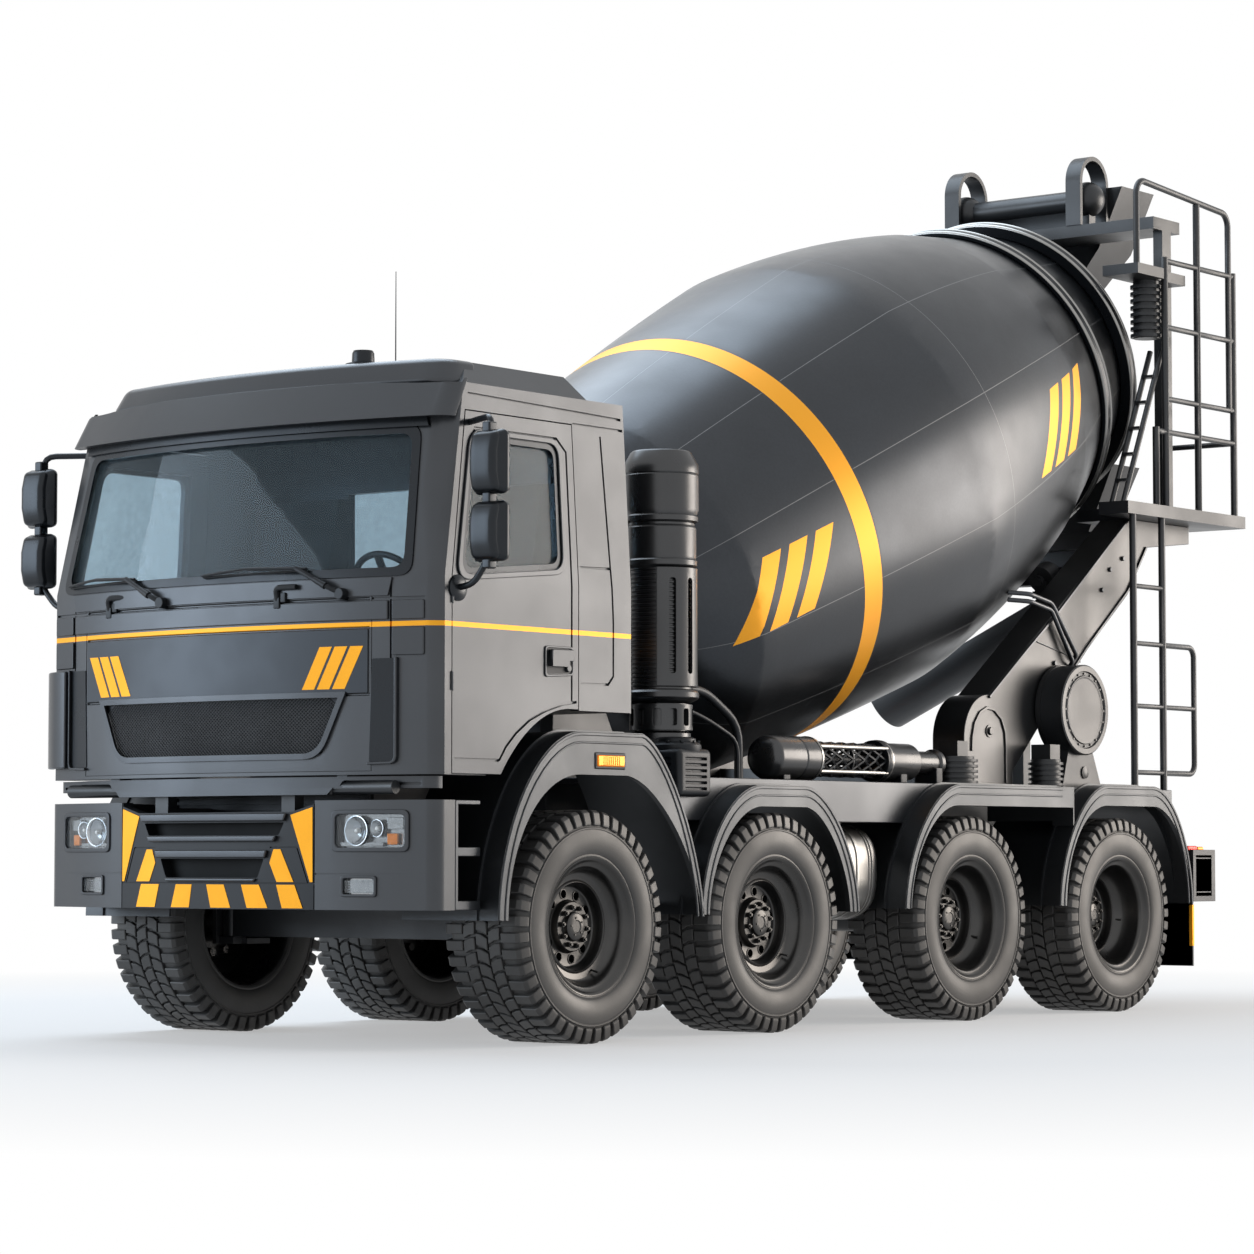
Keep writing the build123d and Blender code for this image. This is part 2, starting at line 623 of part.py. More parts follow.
# ---- fenders and deck ----
def liner_cut(axle, grow, x0, x1):
    """A steered wheel's liner follows the flare's outside; a driven wheel's lies close over the opening."""
    if axle < STEERED:
        return arch_cut(ARCH_FLARES, axle, grow, x0, x1)
    return arch_cut(ARCH_OPENINGS, axle, LINER_RISE + grow, x0, x1)


def fender(axle):
    """A left fender: liner over the wheel, web on the skirt, flared wall and an outer flange."""
    liner = liner_cut(axle, 0, LINER_IN, SKIRT_OUT + FENDER_WEB)
    liner -= liner_cut(axle, -LINER, LINER_IN - 5, SKIRT_OUT + FENDER_WEB + 5)
    web = arch_cut(ARCH_FLARES, axle, FENDER_SEAT, SKIRT_OUT, SKIRT_OUT + FENDER_WEB)
    web -= liner_cut(axle, -LINER, SKIRT_OUT - 5, SKIRT_OUT + FENDER_WEB + 5)
    wall = arch_cut(ARCH_FLARES, axle, 0, SKIRT_OUT, FENDER_OUT)
    wall -= arch_cut(ARCH_FLARES, axle, -LINER, SKIRT_OUT - 5, FENDER_OUT + 5)
    flange = arch_cut(ARCH_FLARES, axle, 0, FLANGE_IN, FENDER_OUT)
    flange -= arch_cut(ARCH_OPENINGS, axle, 0, FLANGE_IN - 5, FENDER_OUT + 5)
    return (liner + web + wall + flange) - box(0, 1400, -1000, 6000, 0, ARCH_FEET[axle])


def front_fenders():
    """Fenders over the two steered axles; the second's front wall closes the first, held by a stay."""
    stay = box(RAIL_OUT, LINER_IN + 40, 690, 790, 900, 960)
    stay += box(LINER_IN, LINER_IN + 40, 640, 790, 820, 1000)
    first = fender(0) + (stay - arch_cut(ARCH_FLARES, 0, -LINER / 2, 400, 800))
    first -= arch_cut(ARCH_FLARES, 1, -LINER / 2, LINER_IN - 5, FLANGE_IN)
    return both_sides(first + fender(1))


def rear_fenders():
    """Fenders over the two driven axles; the last one's front wall closes the one before it."""
    third = fender(2) - arch_cut(ARCH_FLARES, 3, FENDER_SEAT, 0, 1400)
    return both_sides(third + fender(3))


def side_skirts():
    """Deck plates over the wheels and the side panels that carry the flares."""
    deck = box(RAIL_IN, SKIRT_OUT, DECK_FRONT, DECK_REAR, DECK_BOTTOM, DECK_TOP)
    skirt = box(SKIRT_IN, SKIRT_OUT, DECK_FRONT, DECK_REAR, SKIRT_BOTTOM, DECK_BOTTOM)
    side = deck + skirt
    for axle in range(len(AXLES)):
        side -= liner_cut(axle, LINER_GAP, LINER_IN - 10, SKIRT_OUT + 5)
    return both_sides(side)


# ---- chassis equipment ----
TANK_IN, TANK_OUT = 740, 1130
TANK_BOTTOM, TANK_TOP = 530, 1000
TANK_FRONT, TANK_REAR = 2112, 2510
STACK_X, STACK_Y, STACK_RADIUS = 985, 880, 180
UNIT_X = 1000
UNIT_Z = DECK_TOP + 110


def fuel_tanks():
    """A rounded tank on each side, hung from the rail by two brackets and held by two straps."""
    tank = box(TANK_IN, TANK_OUT, TANK_FRONT, TANK_REAR, TANK_BOTTOM, TANK_TOP)
    tank = fillet(tank.edges().filter_by(Axis.Y).group_by(Axis.X)[-1], 170)
    tank = fillet(tank.edges().filter_by(Axis.Y).group_by(Axis.X)[0], 40)
    for y in (TANK_FRONT + 120, TANK_REAR - 160):
        tank += box(RAIL_OUT, TANK_IN + 5, y, y + 60, 800, 900)
    return both_sides(tank)


def exhaust_stack():
    """The tall ribbed stack behind the cab, its louvred box and the bent pipe."""
    x, y, r = STACK_X, STACK_Y, STACK_RADIUS
    profile = Polyline(
        (0, DECK_TOP), (r * 0.75, DECK_TOP), (r * 0.75, 1560), (r, 1590), (r, 1680), (r * 0.86, 1700),
        (r * 0.86, 2250), (r, 2270), (r, 2480), (r * 0.93, 2500), (r * 0.93, 2720), (r * 0.8, 2760),
        (0, 2760),
        close=True)
    stack = Pos(x, y, 0) * revolve(Plane.XZ * make_face(profile), Axis.Z)
    stack += box(x, SKIRT_OUT + 80, y - 180, y + 80, DECK_TOP, 1400)
    stack += box(SKIRT_OUT + FIT, SKIRT_OUT + 80, y - 180, y + 80, 1120, DECK_TOP + 5)
    pipe = tube(((x, y + 130, 1640), (x, y + 330, 1640), (x, y + 620, 1480), (x, y + 620, DECK_TOP)), 24, 110)
    return stack + pipe


def hydraulic_unit():
    """Conical housing, open-work shaft guard and end cylinder in line on the left deck."""
    x, z = UNIT_X, UNIT_Z
    body = rod((x, 1670, z), (x, 2040, z), 110)
    body += rod((x, 2040, z), (x, 2660, z), 28)
    for i in range(8):
        a = math.radians(45 * i + 22.5)
        dx, dz = 82 * math.cos(a), 82 * math.sin(a)
        body += rod((x + dx, 2030, z + dz), (x + dx, 2670, z + dz), 9)
    body += rod((x, 2640, z), (x, 2700, z), 108)
    body += rod((x, 2700, z), (x, 2960, z), 95)
    body += rod((x, 2960, z), (x, 3210, z), 60)
    for y in (1760, 2790, 3120):
        body += box(x - 70, x + 70, y, y + 60, DECK_TOP, z)
    return body


def drum_drive():
    """Front pedestal with the gearbox that turns the drum."""
    stand = None
    for side in (-1, 1):
        x0, x1 = sorted((side * RAIL_IN, side * RAIL_OUT))
        leg = prism_x(((DECK_FRONT + 60, DECK_TOP), (1350, DECK_TOP), (1080, 1700), (760, 1700)), x0, x1)
        stand = leg if stand is None else stand + leg
    stand += box(-RAIL_OUT, RAIL_OUT, 700, 1010, 1540, 1600)
    gearbox = on_drum_axis(Rot(0, 90, 0) * Cylinder(230, 260), NOSE_S - 175 - FIT)
    gearbox += on_drum_axis(Rot(0, 90, 0) * Cylinder(150, 90), NOSE_S - 45 - FIT)
    stand += gearbox
    stand += box(-160, 160, 720, 900, 1590, 1700)
    return stand


# ---- drum ----
def on_drum_axis(shape, station):
    """Place a piece drawn about +X on the drum's tilted axis."""
    a = math.radians(DRUM_TILT)
    axis = Plane(origin=(0, DRUM_Y, DRUM_Z), x_dir=(0, math.cos(a), math.sin(a)), z_dir=(1, 0, 0))
    return axis * Pos(station, 0, 0) * shape


def drum():
    """Pear-shaped mixing drum with a bowl at the gearbox end and an open mouth."""
    outline = Line((NOSE_S, 0), (NOSE_S, FLANGE_RADIUS))
    outline += ThreePointArc((NOSE_S, FLANGE_RADIUS), (-1210, 700), (-800, 996))
    outline += ThreePointArc((-800, 996), (150, 1131), (1100, 1226))
    outline += ThreePointArc((1100, 1226), (1800, 1165), (2400, 1055))
    outline += Polyline((2400, 1055), (2800, 930), (3320, 790), (MOUTH_S, MOUTH_RADIUS),
                        (MOUTH_S, MOUTH_RADIUS - MOUTH_WALL),
                        (MOUTH_S - MOUTH_DEPTH, MOUTH_RADIUS - MOUTH_WALL),
                        (MOUTH_S - MOUTH_DEPTH, 0), (NOSE_S, 0))
    return on_drum_axis(revolve(make_face(outline), Axis.X), 0)


def drum_rings(shell):
    """Two rolling rings shrunk on the drum's tail."""
    rings = []
    for station, radius, width in RINGS:
        band = Rot(0, 90, 0) * (Cylinder(radius, width) - Cylinder(radius - 220, width + 10))
        rings.append(on_drum_axis(band, station) - shell)
    return group(*rings)


# ---- rear structure ----
ARM = ((3650, 1500), (3810, 1700), (4550, 2220), (PLATFORM_FRONT, PLATFORM_BOTTOM), (5980, PLATFORM_BOTTOM),
       (5980, 2650), (5500, 2600), (5280, 2320), (4820, 1980), (4290, 1520), (4050, 1300))
TIE_BAR = (5880, 5972, 2650)


def rear_pedestal():
    """Arched feet, two rising arms, cross ties and the shelf that carries the rear superstructure."""
    side = box(ARM_IN, ARM_OUT, 3810 - FOOT_RADIUS, 3810 + FOOT_RADIUS, DECK_TOP, 1465)
    side += rod((ARM_IN, 3810, 1465), (ARM_OUT, 3810, 1465), FOOT_RADIUS)
    side += prism_x(ARM, ARM_IN, ARM_OUT)
    body = side + mirror(side, about=Plane.YZ)
    body += box(-ARM_IN, ARM_IN, 3700, 3850, DECK_TOP, 1330)
    body += box(-ARM_IN, ARM_IN, 5300, 5400, 2400, 2500)
    y0, y1, z0 = TIE_BAR
    body += box(-ARM_IN, ARM_IN, y0, y1, z0, PLATFORM_BOTTOM)
    return body


def drum_rollers():
    """Rollers under the drum's tail, on brackets at the arms' inner faces."""
    lean = math.radians(DRUM_TILT)
    along = Vector(0, math.cos(lean), math.sin(lean))
    out = math.radians(ROLLER_ANGLE)
    reach = ROLLER_SEAT + ROLLER_RADIUS
    drop = reach * math.cos(out)
    centre = Vector(reach * math.sin(out), DRUM_Y, DRUM_Z) + along * ROLLER_S
    centre += Vector(0, math.sin(lean), -math.cos(lean)) * drop
    roller = rod(tuple(centre - along * 50), tuple(centre + along * 50), ROLLER_RADIUS)
    pin = rod(tuple(centre - along * 90), tuple(centre + along * 90), 24)
    fork = box(640, ARM_IN - FIT, 4860, 5000, 2280, 2340)
    for end in (-80, 62):
        at = centre + along * end
        cheek = rod(tuple(at), tuple(at + along * 18), 34)
        fork += cheek + box(585, 660, at.Y + 2, at.Y + 14, 2300, at.Z)
    fork += box(585, 660, 4850, 5020, 2290, 2330)
    return both_sides(roller + pin + fork)


def deck_equipment():
    """Ribbed round mounts and bolted round tanks on the deck beside the rear pedestal."""
    tank = rod((ARM_OUT + 10, 4510, 1640), (1120, 4510, 1640), 245)
    foot = prism_x(((4330, DECK_TOP), (4740, DECK_TOP), (4640, 1430), (4400, 1430)), 1000, 1090)
    pieces = [both_sides(tank + foot)]
    for x, y, radius in ((UNIT_X, 3385, 130), (ARM_OUT + 102, 4220, 95)):
        mount = rod((x, y, DECK_TOP), (x, y, DECK_TOP + 150), radius * 0.85)
        for i in range(5):
            z = DECK_TOP + 8 + 28 * i
            mount += rod((x, y, z), (x, y, z + 14), radius)
        mount += box(x - 60, x + 60, y - 50, y + 50, DECK_TOP + 150, DECK_TOP + 230)
        pieces.append(both_sides(mount))
    return group(*pieces)


def platform():
    """Service platform with its ledge, guard rails and tall loop."""
    body = box(PLATFORM_IN, PLATFORM_OUT, PLATFORM_FRONT, REAR_END, PLATFORM_BOTTOM, PLATFORM_TOP)
    body += box(LEDGE_IN, PLATFORM_OUT, LEDGE_FRONT, PLATFORM_FRONT, PLATFORM_BOTTOM, PLATFORM_TOP)
    x = RAIL_X
    # (y, top) of each post in the outer rail
    for y, top in ((5350, 3270), (5460, 4250), (5830, 4600), (GUARD_REAR, 4250)):
        body += rod((x, y, PLATFORM_TOP), (x, y, top), TUBE)
    # (z, front end) of each bar
    for z, front in ((3250, 5350), (3440, 5460), (3850, 5460), (4230, 5460)):
        body += rod((x, front, z), (x, GUARD_REAR, z), BAR)
    loop = ((x, 5150, 4180 + FIT), (x, 5150, 4660), (x, GUARD_REAR - 50, 4590), (x, GUARD_REAR - 50, 3430))
    body += tube(loop, LOOP, 80)
    inner = PLATFORM_IN + 40
    body += rod((inner, GUARD_REAR, PLATFORM_TOP), (inner, GUARD_REAR, 3270), TUBE)
    body += rod((inner, GUARD_REAR, 3250), (x, GUARD_REAR, 3250), BAR)
    return body


def ladders():
    """Lower ladder with its guard loop, and the stair up from the platform."""
    x = 1125
    low = None
    for y in (5040, 5360):
        rail = rod((x, y, DECK_TOP), (x, y, PLATFORM_BOTTOM - FIT), TUBE)
        low = rail if low is None else low + rail
    for z in (1310, 1680, 2030, 2350):
        low += rod((x, 5040, z), (x, 5360, z), 14)
    low += tube(((x, 5360, 2030), (x, 5710, 2030), (x, 5710, 1310), (x, 5360, 1310)), 16, 60)
    low += rod((x, 5360, 1680), (x, 5710, 1680), 14)
    foot = (5050, PLATFORM_TOP - 20)
    head = (5500, 3720)
    stair = None
    for sx in (980, 1054):
        string = rod((sx, *foot), (sx, *head), 16)
        stair = string if stair is None else stair + string
    for i in range(1, 6):
        y = foot[0] + (head[0] - foot[0]) * i / 6
        z = foot[1] + (head[1] - foot[1]) * i / 6
        stair += box(980, 1054, y - 30, y + 30, z - 8, z + 8)
    stair -= box(900, 1140, 4950, PLATFORM_FRONT, PLATFORM_BOTTOM, PLATFORM_TOP)
    return group(low, stair)


def top_frame():
    """Columns, bridge over the drum's mouth, lifting hoops, motors and the bellows."""
    body = None
    for side, foot in ((-1, PLATFORM_BOTTOM), (1, PLATFORM_TOP)):
        x0, x1 = sorted((side * 890, side * 950))
        column = box(x0, x1, COLUMN_Y, COLUMN_Y + 100, foot, BRIDGE_Z)
        body = column if body is None else body + column
    body += box(-950, 950, COLUMN_Y - 100, COLUMN_Y + 200, BRIDGE_Z, BRIDGE_TOP)
    for x in (-HOOP_X, HOOP_X):
        arch = rod((x - 50, HOOP_Y, HOOP_TOP - HOOP_HALF), (x + 50, HOOP_Y, HOOP_TOP - HOOP_HALF), HOOP_HALF)
        arch += box(x - 50, x + 50, HOOP_Y - HOOP_HALF, HOOP_Y + HOOP_HALF, BRIDGE_TOP, HOOP_TOP - HOOP_HALF)
        inner = HOOP_HALF - 26
        arch -= rod((x - 60, HOOP_Y, HOOP_TOP - HOOP_HALF), (x + 60, HOOP_Y, HOOP_TOP - HOOP_HALF), inner)
        arch -= box(x - 60, x + 60, HOOP_Y - inner, HOOP_Y + inner, BRIDGE_TOP, HOOP_TOP - HOOP_HALF)
        body += arch
        body += Pos(x, HOOP_Y, 4690) * Sphere(105)
        body += box(x - 35, x + 35, HOOP_Y - 35, HOOP_Y + 35, BRIDGE_TOP, 4620)
    body += rod((-HOOP_X, HOOP_Y, 4690), (HOOP_X, HOOP_Y, 4690), 62)
    plate = box(890, 1120, 5130, 5420, 4120, 4180) + box(890, RAIL_X - 30, 5400, COLUMN_Y + 50, 4120, 4180)
    ribs = rod((BELLOWS_X, 5450, 3790), (BELLOWS_X, 5450, 4120), 74)
    for i in range(8):
        ribs += rod((BELLOWS_X, 5450, 3795 + 40 * i), (BELLOWS_X, 5450, 3815 + 40 * i), 90)
    return body + plate + ribs


def funnel(top, bottom, wall):
    """A hollow funnel between two rectangles of (half width, y0, y1, z), open at both ends."""
    solids = []
    for inset, reach in ((0, 0), (wall, 1)):
        faces = []
        for (half, y0, y1, z), way in ((top, reach), (bottom, -reach)):
            plate = Rectangle(2 * (half - inset), y1 - y0 - 2 * inset)
            faces.append(Pos(0, (y0 + y1) / 2, z + way) * plate)
        solids.append(loft(faces, ruled=True))
    return solids[0] - solids[1]


def hopper():
    """Charging hopper behind the bridge, and the collector under the drum's mouth."""
    bin_top = (560, 5915, 6285, 4780)
    bin_foot = (400, 5915, 6285, 4430)
    outlet = (160, 5800, 6050, 4010)
    charge = funnel(bin_top, bin_foot, 10) + funnel(bin_foot, outlet, 10)
    for x in (-380, 330):
        charge += box(x, x + 50, COLUMN_Y + 200 + FIT, 5920, BRIDGE_Z, BRIDGE_TOP)
    collector = funnel((450, TIE_BAR[1] + FIT, 6280, 3150), (170, TIE_BAR[1] + FIT, 6218, 2500), 8)
    return group(charge, collector)


# ---- discharge chute ----
def chute_stand():
    """Post and arm behind the frame, with the vertical pin that the chute swings on."""
    stand = box(-70, 70, RAIL_REAR - 80, RAIL_REAR, DECK_BOTTOM + FIT, 1900)
    stand += box(-70, 70, RAIL_REAR - 80, CHUTE_Y + 50, 1830, 1900)
    stand += rod((0, CHUTE_Y, 1890), (0, CHUTE_Y, 1990), 30)
    return stand


def chute_swivel():
    """Sleeve on the vertical pin with two cheeks and the chute's cross pin."""
    y = CHUTE_Y
    body = rod((0, y, 1906), (0, y, 2020), 55) - rod((0, y, 1900), (0, y, 1995), 30 + RUNNING)
    body += box(-55, 55, y - 150, y + 150, 2000, 2040)
    for y0 in (y - 150, y + 130):
        body += box(-50, 50, y0, y0 + 20, 2030, CHUTE_PIN_Z + 35)
    body += rod((0, y - 150, CHUTE_PIN_Z), (0, y + 150, CHUTE_PIN_Z), 20)
    return body


def discharge_chute():
    """Open trough towards the vehicle's right, with two lugs on the cross pin."""
    slope = math.radians(CHUTE_SLOPE)
    down = Vector(-math.cos(slope), 0, -math.sin(slope))
    up = Vector(-math.sin(slope), 0, math.cos(slope))
    pin = Vector(0, CHUTE_Y, CHUTE_PIN_Z)
    middle = pin + up * (CHUTE_RADIUS + CHUTE_WALL + 26)
    start = middle - down * 190
    length = 190 + CHUTE_REACH / math.cos(slope)
    outer = CHUTE_RADIUS + CHUTE_WALL
    plane = Plane(origin=tuple(start), x_dir=(0, 1, 0), z_dir=tuple(down))
    trough = extrude(plane * Circle(outer), length) - extrude(plane * Circle(CHUTE_RADIUS), length)
    lid = Plane(origin=tuple(start), x_dir=(0, 1, 0), z_dir=tuple(down))
    above = lid * Pos(0, outer, length / 2) * Box(4 * outer, 2 * outer, 2 * length)
    below = lid * Pos(0, -outer, length / 2) * Box(4 * outer, 2 * outer, 2 * length)
    keep = above if (above.center() - middle).dot(up) < 0 else below
    trough &= keep
    for y0 in (CHUTE_Y - 110, CHUTE_Y + 90):
        lug = box(-35, 35, y0, y0 + 20, CHUTE_PIN_Z - 38, CHUTE_PIN_Z + 120)
        trough += lug - extrude(plane * Circle(CHUTE_RADIUS + 1), length)
    trough -= rod((0, CHUTE_Y - 200, CHUTE_PIN_Z), (0, CHUTE_Y + 200, CHUTE_PIN_Z), 20 + RUNNING)
    return trough


def rear_end():
    """Underrun beam, lamp boxes and mudflaps, and the stand that carries the chute."""
    body = box(-1135, 1135, 5500, 5600, 600, 720)
    for x0, x1 in ((-RAIL_OUT, -RAIL_IN), (RAIL_IN, RAIL_OUT)):
        body += box(x0, x1, 5500, 5600, 720, RAIL_BOTTOM)
    side = box(1130, 1270, 5430, 5680, 590, 880)
    side += box(860, 1260, 5434, 5446, 230, 600)
    side += box(1100, 1130, 5430, 5520, 600, 720)
    return group(body + both_sides(side), chute_stand())


def main():
    os.makedirs("parts", exist_ok=True)
    for axle in range(len(AXLES)):
        for side, word in ((1, "left"), (-1, "right")):
            save(f"tyre_{axle + 1}_{word}", wheel_at(tyre(), axle, side))
            save(f"rim_{axle + 1}_{word}", wheel_at(rim(axle), axle, side))
    for axle in range(STEERED):
        left = knuckle(axle)
        save(f"knuckle_{axle + 1}_left", left)
        save(f"knuckle_{axle + 1}_right", mirror(left, about=Plane.YZ))
    wall = hollow_cab()
    for name, piece in (("door", door(wall)), ("door_glass", door_glass()), ("door_mirror", door_mirror())):
        save(f"{name}_left", piece)
        save(f"{name}_right", mirror(piece, about=Plane.YZ))
    shell = drum()
    pieces = {
        "frame": frame(), "front_axles": front_axles(), "rear_axles": rear_axles(),
        "leaf_springs": leaf_springs(),
        "engine": engine(), "cab_shell": cab_shell(wall), "cab_front": cab_front(wall), "grille": grille(),
        "cab_glass": cab_glass(), "sun_visor": sun_visor(), "seats": seats(), "dashboard": dashboard(),
        "bumper": bumper(), "headlamps": lamps(), "cab_steps": cab_steps(),
        "front_fenders": front_fenders(), "rear_fenders": rear_fenders(), "side_skirts": side_skirts(),
        "fuel_tanks": fuel_tanks(), "exhaust_stack": exhaust_stack(), "hydraulic_unit": hydraulic_unit(),
        "drum_drive": drum_drive(), "drum": shell, "drum_rings": drum_rings(shell),
        "rear_pedestal": rear_pedestal(), "drum_rollers": drum_rollers(), "deck_equipment": deck_equipment(),
        "platform": platform(), "ladders": ladders(), "top_frame": top_frame(),
        "hopper": hopper(), "chute_swivel": chute_swivel(),
        "discharge_chute": discharge_chute(), "rear_end": rear_end(),
    }
    for name, shape in pieces.items():
        save(name, shape)


main()
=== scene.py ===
import json
import math

import bpy
from mathutils import Matrix, Vector

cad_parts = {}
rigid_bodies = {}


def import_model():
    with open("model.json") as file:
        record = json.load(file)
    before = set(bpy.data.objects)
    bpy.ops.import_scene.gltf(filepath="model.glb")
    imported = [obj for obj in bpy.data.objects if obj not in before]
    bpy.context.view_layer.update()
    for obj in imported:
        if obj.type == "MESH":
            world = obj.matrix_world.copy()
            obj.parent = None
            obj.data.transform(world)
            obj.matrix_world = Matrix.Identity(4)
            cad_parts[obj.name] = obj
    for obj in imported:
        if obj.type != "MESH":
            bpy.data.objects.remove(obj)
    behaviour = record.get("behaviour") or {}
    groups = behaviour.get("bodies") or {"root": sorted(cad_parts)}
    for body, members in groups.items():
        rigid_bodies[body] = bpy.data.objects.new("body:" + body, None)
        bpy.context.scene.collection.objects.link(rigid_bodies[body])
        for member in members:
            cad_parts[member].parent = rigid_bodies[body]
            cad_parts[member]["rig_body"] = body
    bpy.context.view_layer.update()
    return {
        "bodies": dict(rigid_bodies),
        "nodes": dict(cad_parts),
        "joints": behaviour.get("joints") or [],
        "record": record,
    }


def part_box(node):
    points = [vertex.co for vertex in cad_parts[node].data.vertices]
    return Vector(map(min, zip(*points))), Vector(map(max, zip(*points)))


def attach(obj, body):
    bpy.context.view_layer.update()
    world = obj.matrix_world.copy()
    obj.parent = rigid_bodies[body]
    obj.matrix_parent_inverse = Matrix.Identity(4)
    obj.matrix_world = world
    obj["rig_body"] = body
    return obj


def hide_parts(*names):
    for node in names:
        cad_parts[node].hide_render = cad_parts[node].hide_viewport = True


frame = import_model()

# Four-axle concrete mixer truck. Metres, +Z up, the cab faces -Y and the vehicle's left side is +X.
# Places are given from the first axle with at(), because everything on the truck is measured from it.

for left_over in ("Cube", "Camera", "Light"):
    if left_over in bpy.data.objects:
        bpy.data.objects.remove(bpy.data.objects[left_over])


# ---------------------------------------------------------------- sizes read from the frame
def middle(node):
    low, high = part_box(node)
    return (low + high) / 2


def at(x, y, z):
    return Vector((x, FIRST_AXLE + y, z))


FIRST_AXLE = middle("rim_1_left").y
WHEEL_X = middle("tyre_1_left").x
WHEEL_Z = middle("tyre_1_left").z
TYRE_RADIUS = (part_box("tyre_1_left")[1].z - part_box("tyre_1_left")[0].z) / 2
TYRE_HALF = (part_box("tyre_1_left")[1].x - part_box("tyre_1_left")[0].x) / 2
AXLES = [middle(f"rim_{n}_left").y - FIRST_AXLE for n in (1, 2, 3, 4)]
SIDES = {"left": 1, "right": -1}
DRUM_JOINT = next(joint for joint in frame["joints"] if joint["name"] == "drum_spin")
DRUM_ORIGIN = Vector(DRUM_JOINT["pos_m"])
DRUM_AXIS = Vector(DRUM_JOINT["axis"]).normalized()
DRUM_UP = Vector((1, 0, 0)).cross(DRUM_AXIS)
CAB_SIDE = 1.2


# ---------------------------------------------------------------- modelling helpers
def deselect():
    for piece in bpy.context.selected_objects:
        piece.select_set(False)


def activate(piece):
    deselect()
    piece.select_set(True)
    bpy.context.view_layer.objects.active = piece


def bake_place(piece):
    activate(piece)
    bpy.ops.object.transform_apply(location=True, rotation=True, scale=True)
    return piece


def edit(piece):
    activate(piece)
    bpy.ops.object.mode_set(mode="EDIT")
    bpy.ops.mesh.select_all(action="SELECT")


def leave():
    bpy.ops.object.mode_set(mode="OBJECT")


def apply_modifier(piece, kind, **settings):
    activate(piece)
    modifier = piece.modifiers.new(kind.lower(), kind)
    for key, value in settings.items():
        setattr(modifier, key, value)
    bpy.ops.object.modifier_apply(modifier=modifier.name)
    return piece


def bevelled(piece, width, segments=2, angle=35):
    if width:
        apply_modifier(piece, "BEVEL", width=width, segments=segments, limit_method="ANGLE",
                       angle_limit=math.radians(angle), use_clamp_overlap=True)
    return piece


def block(low, high, bevel=0.004, segments=2):
    """A box between two corners with rounded edges."""
    low, high = Vector(low), Vector(high)
    deselect()
    bpy.ops.mesh.primitive_cube_add(size=1, location=(low + high) / 2, scale=high - low)
    return bevelled(bake_place(bpy.context.object), bevel, segments)


def rod(start, end, radius, sides=20, bevel=0.0, end_radius=None):
    """A round bar between two points."""
    start, end = Vector(start), Vector(end)
    run = end - start
    turn = run.to_track_quat("Z", "Y").to_euler()
    deselect()
    far = radius if end_radius is None else end_radius
    bpy.ops.mesh.primitive_cone_add(vertices=sides, radius1=radius, radius2=far, depth=run.length,
                                    location=(start + end) / 2, rotation=turn)
    return bevelled(bake_place(bpy.context.object), bevel, 2, 50)


def lathe(profile, steps=48, closed=False):
    """Rings of (radius, height) about Z, drawn out one after another from a first circle."""
    radius, height = profile[0]
    deselect()
    bpy.ops.mesh.primitive_circle_add(vertices=steps, radius=max(radius, 1e-4), location=(0, 0, height))
    piece = bpy.context.object
    bake_place(piece)
    edit(piece)
    last_radius, last_height = max(radius, 1e-4), height
    for radius, height in profile[1:]:
        radius = max(radius, 1e-4)
        bpy.ops.mesh.extrude_region_move(TRANSFORM_OT_translate={"value": (0, 0, height - last_height)})
        ratio = radius / last_radius
        if abs(ratio - 1) > 1e-6:
            bpy.ops.transform.resize(value=(ratio, ratio, 1), center_override=(0, 0, height))
        last_radius, last_height = radius, height
    bpy.ops.mesh.select_all(action="SELECT")
    bpy.ops.mesh.remove_doubles(threshold=0.0003)
    if closed:
        bpy.ops.mesh.select_all(action="DESELECT")
        bpy.ops.mesh.select_non_manifold()
        bpy.ops.mesh.edge_face_add()
        bpy.ops.mesh.select_all(action="SELECT")
    bpy.ops.mesh.normals_make_consistent(inside=False)
    leave()
    return piece


def sheet_of(points, thickness, bevel=0.0, segments=2):
    """A flat plate with an outline of (u, v) points, drawn in XY and thickened along +Z."""
    deselect()
    bpy.ops.mesh.primitive_plane_add(size=0.01, location=(points[0][0], points[0][1], 0))
    piece = bake_place(bpy.context.object)
    edit(piece)
    bpy.ops.mesh.merge(type="CENTER")
    for here, there in zip(points, points[1:]):
        bpy.ops.mesh.extrude_region_move(TRANSFORM_OT_translate={"value": (there[0] - here[0], there[1] - here[1], 0)})
    bpy.ops.mesh.select_all(action="SELECT")
    bpy.ops.mesh.edge_face_add()
    bpy.ops.mesh.extrude_region_move(TRANSFORM_OT_translate={"value": (0, 0, thickness)})
    bpy.ops.mesh.select_all(action="SELECT")
    bpy.ops.mesh.normals_make_consistent(inside=False)
    leave()
    return bevelled(piece, bevel, segments)


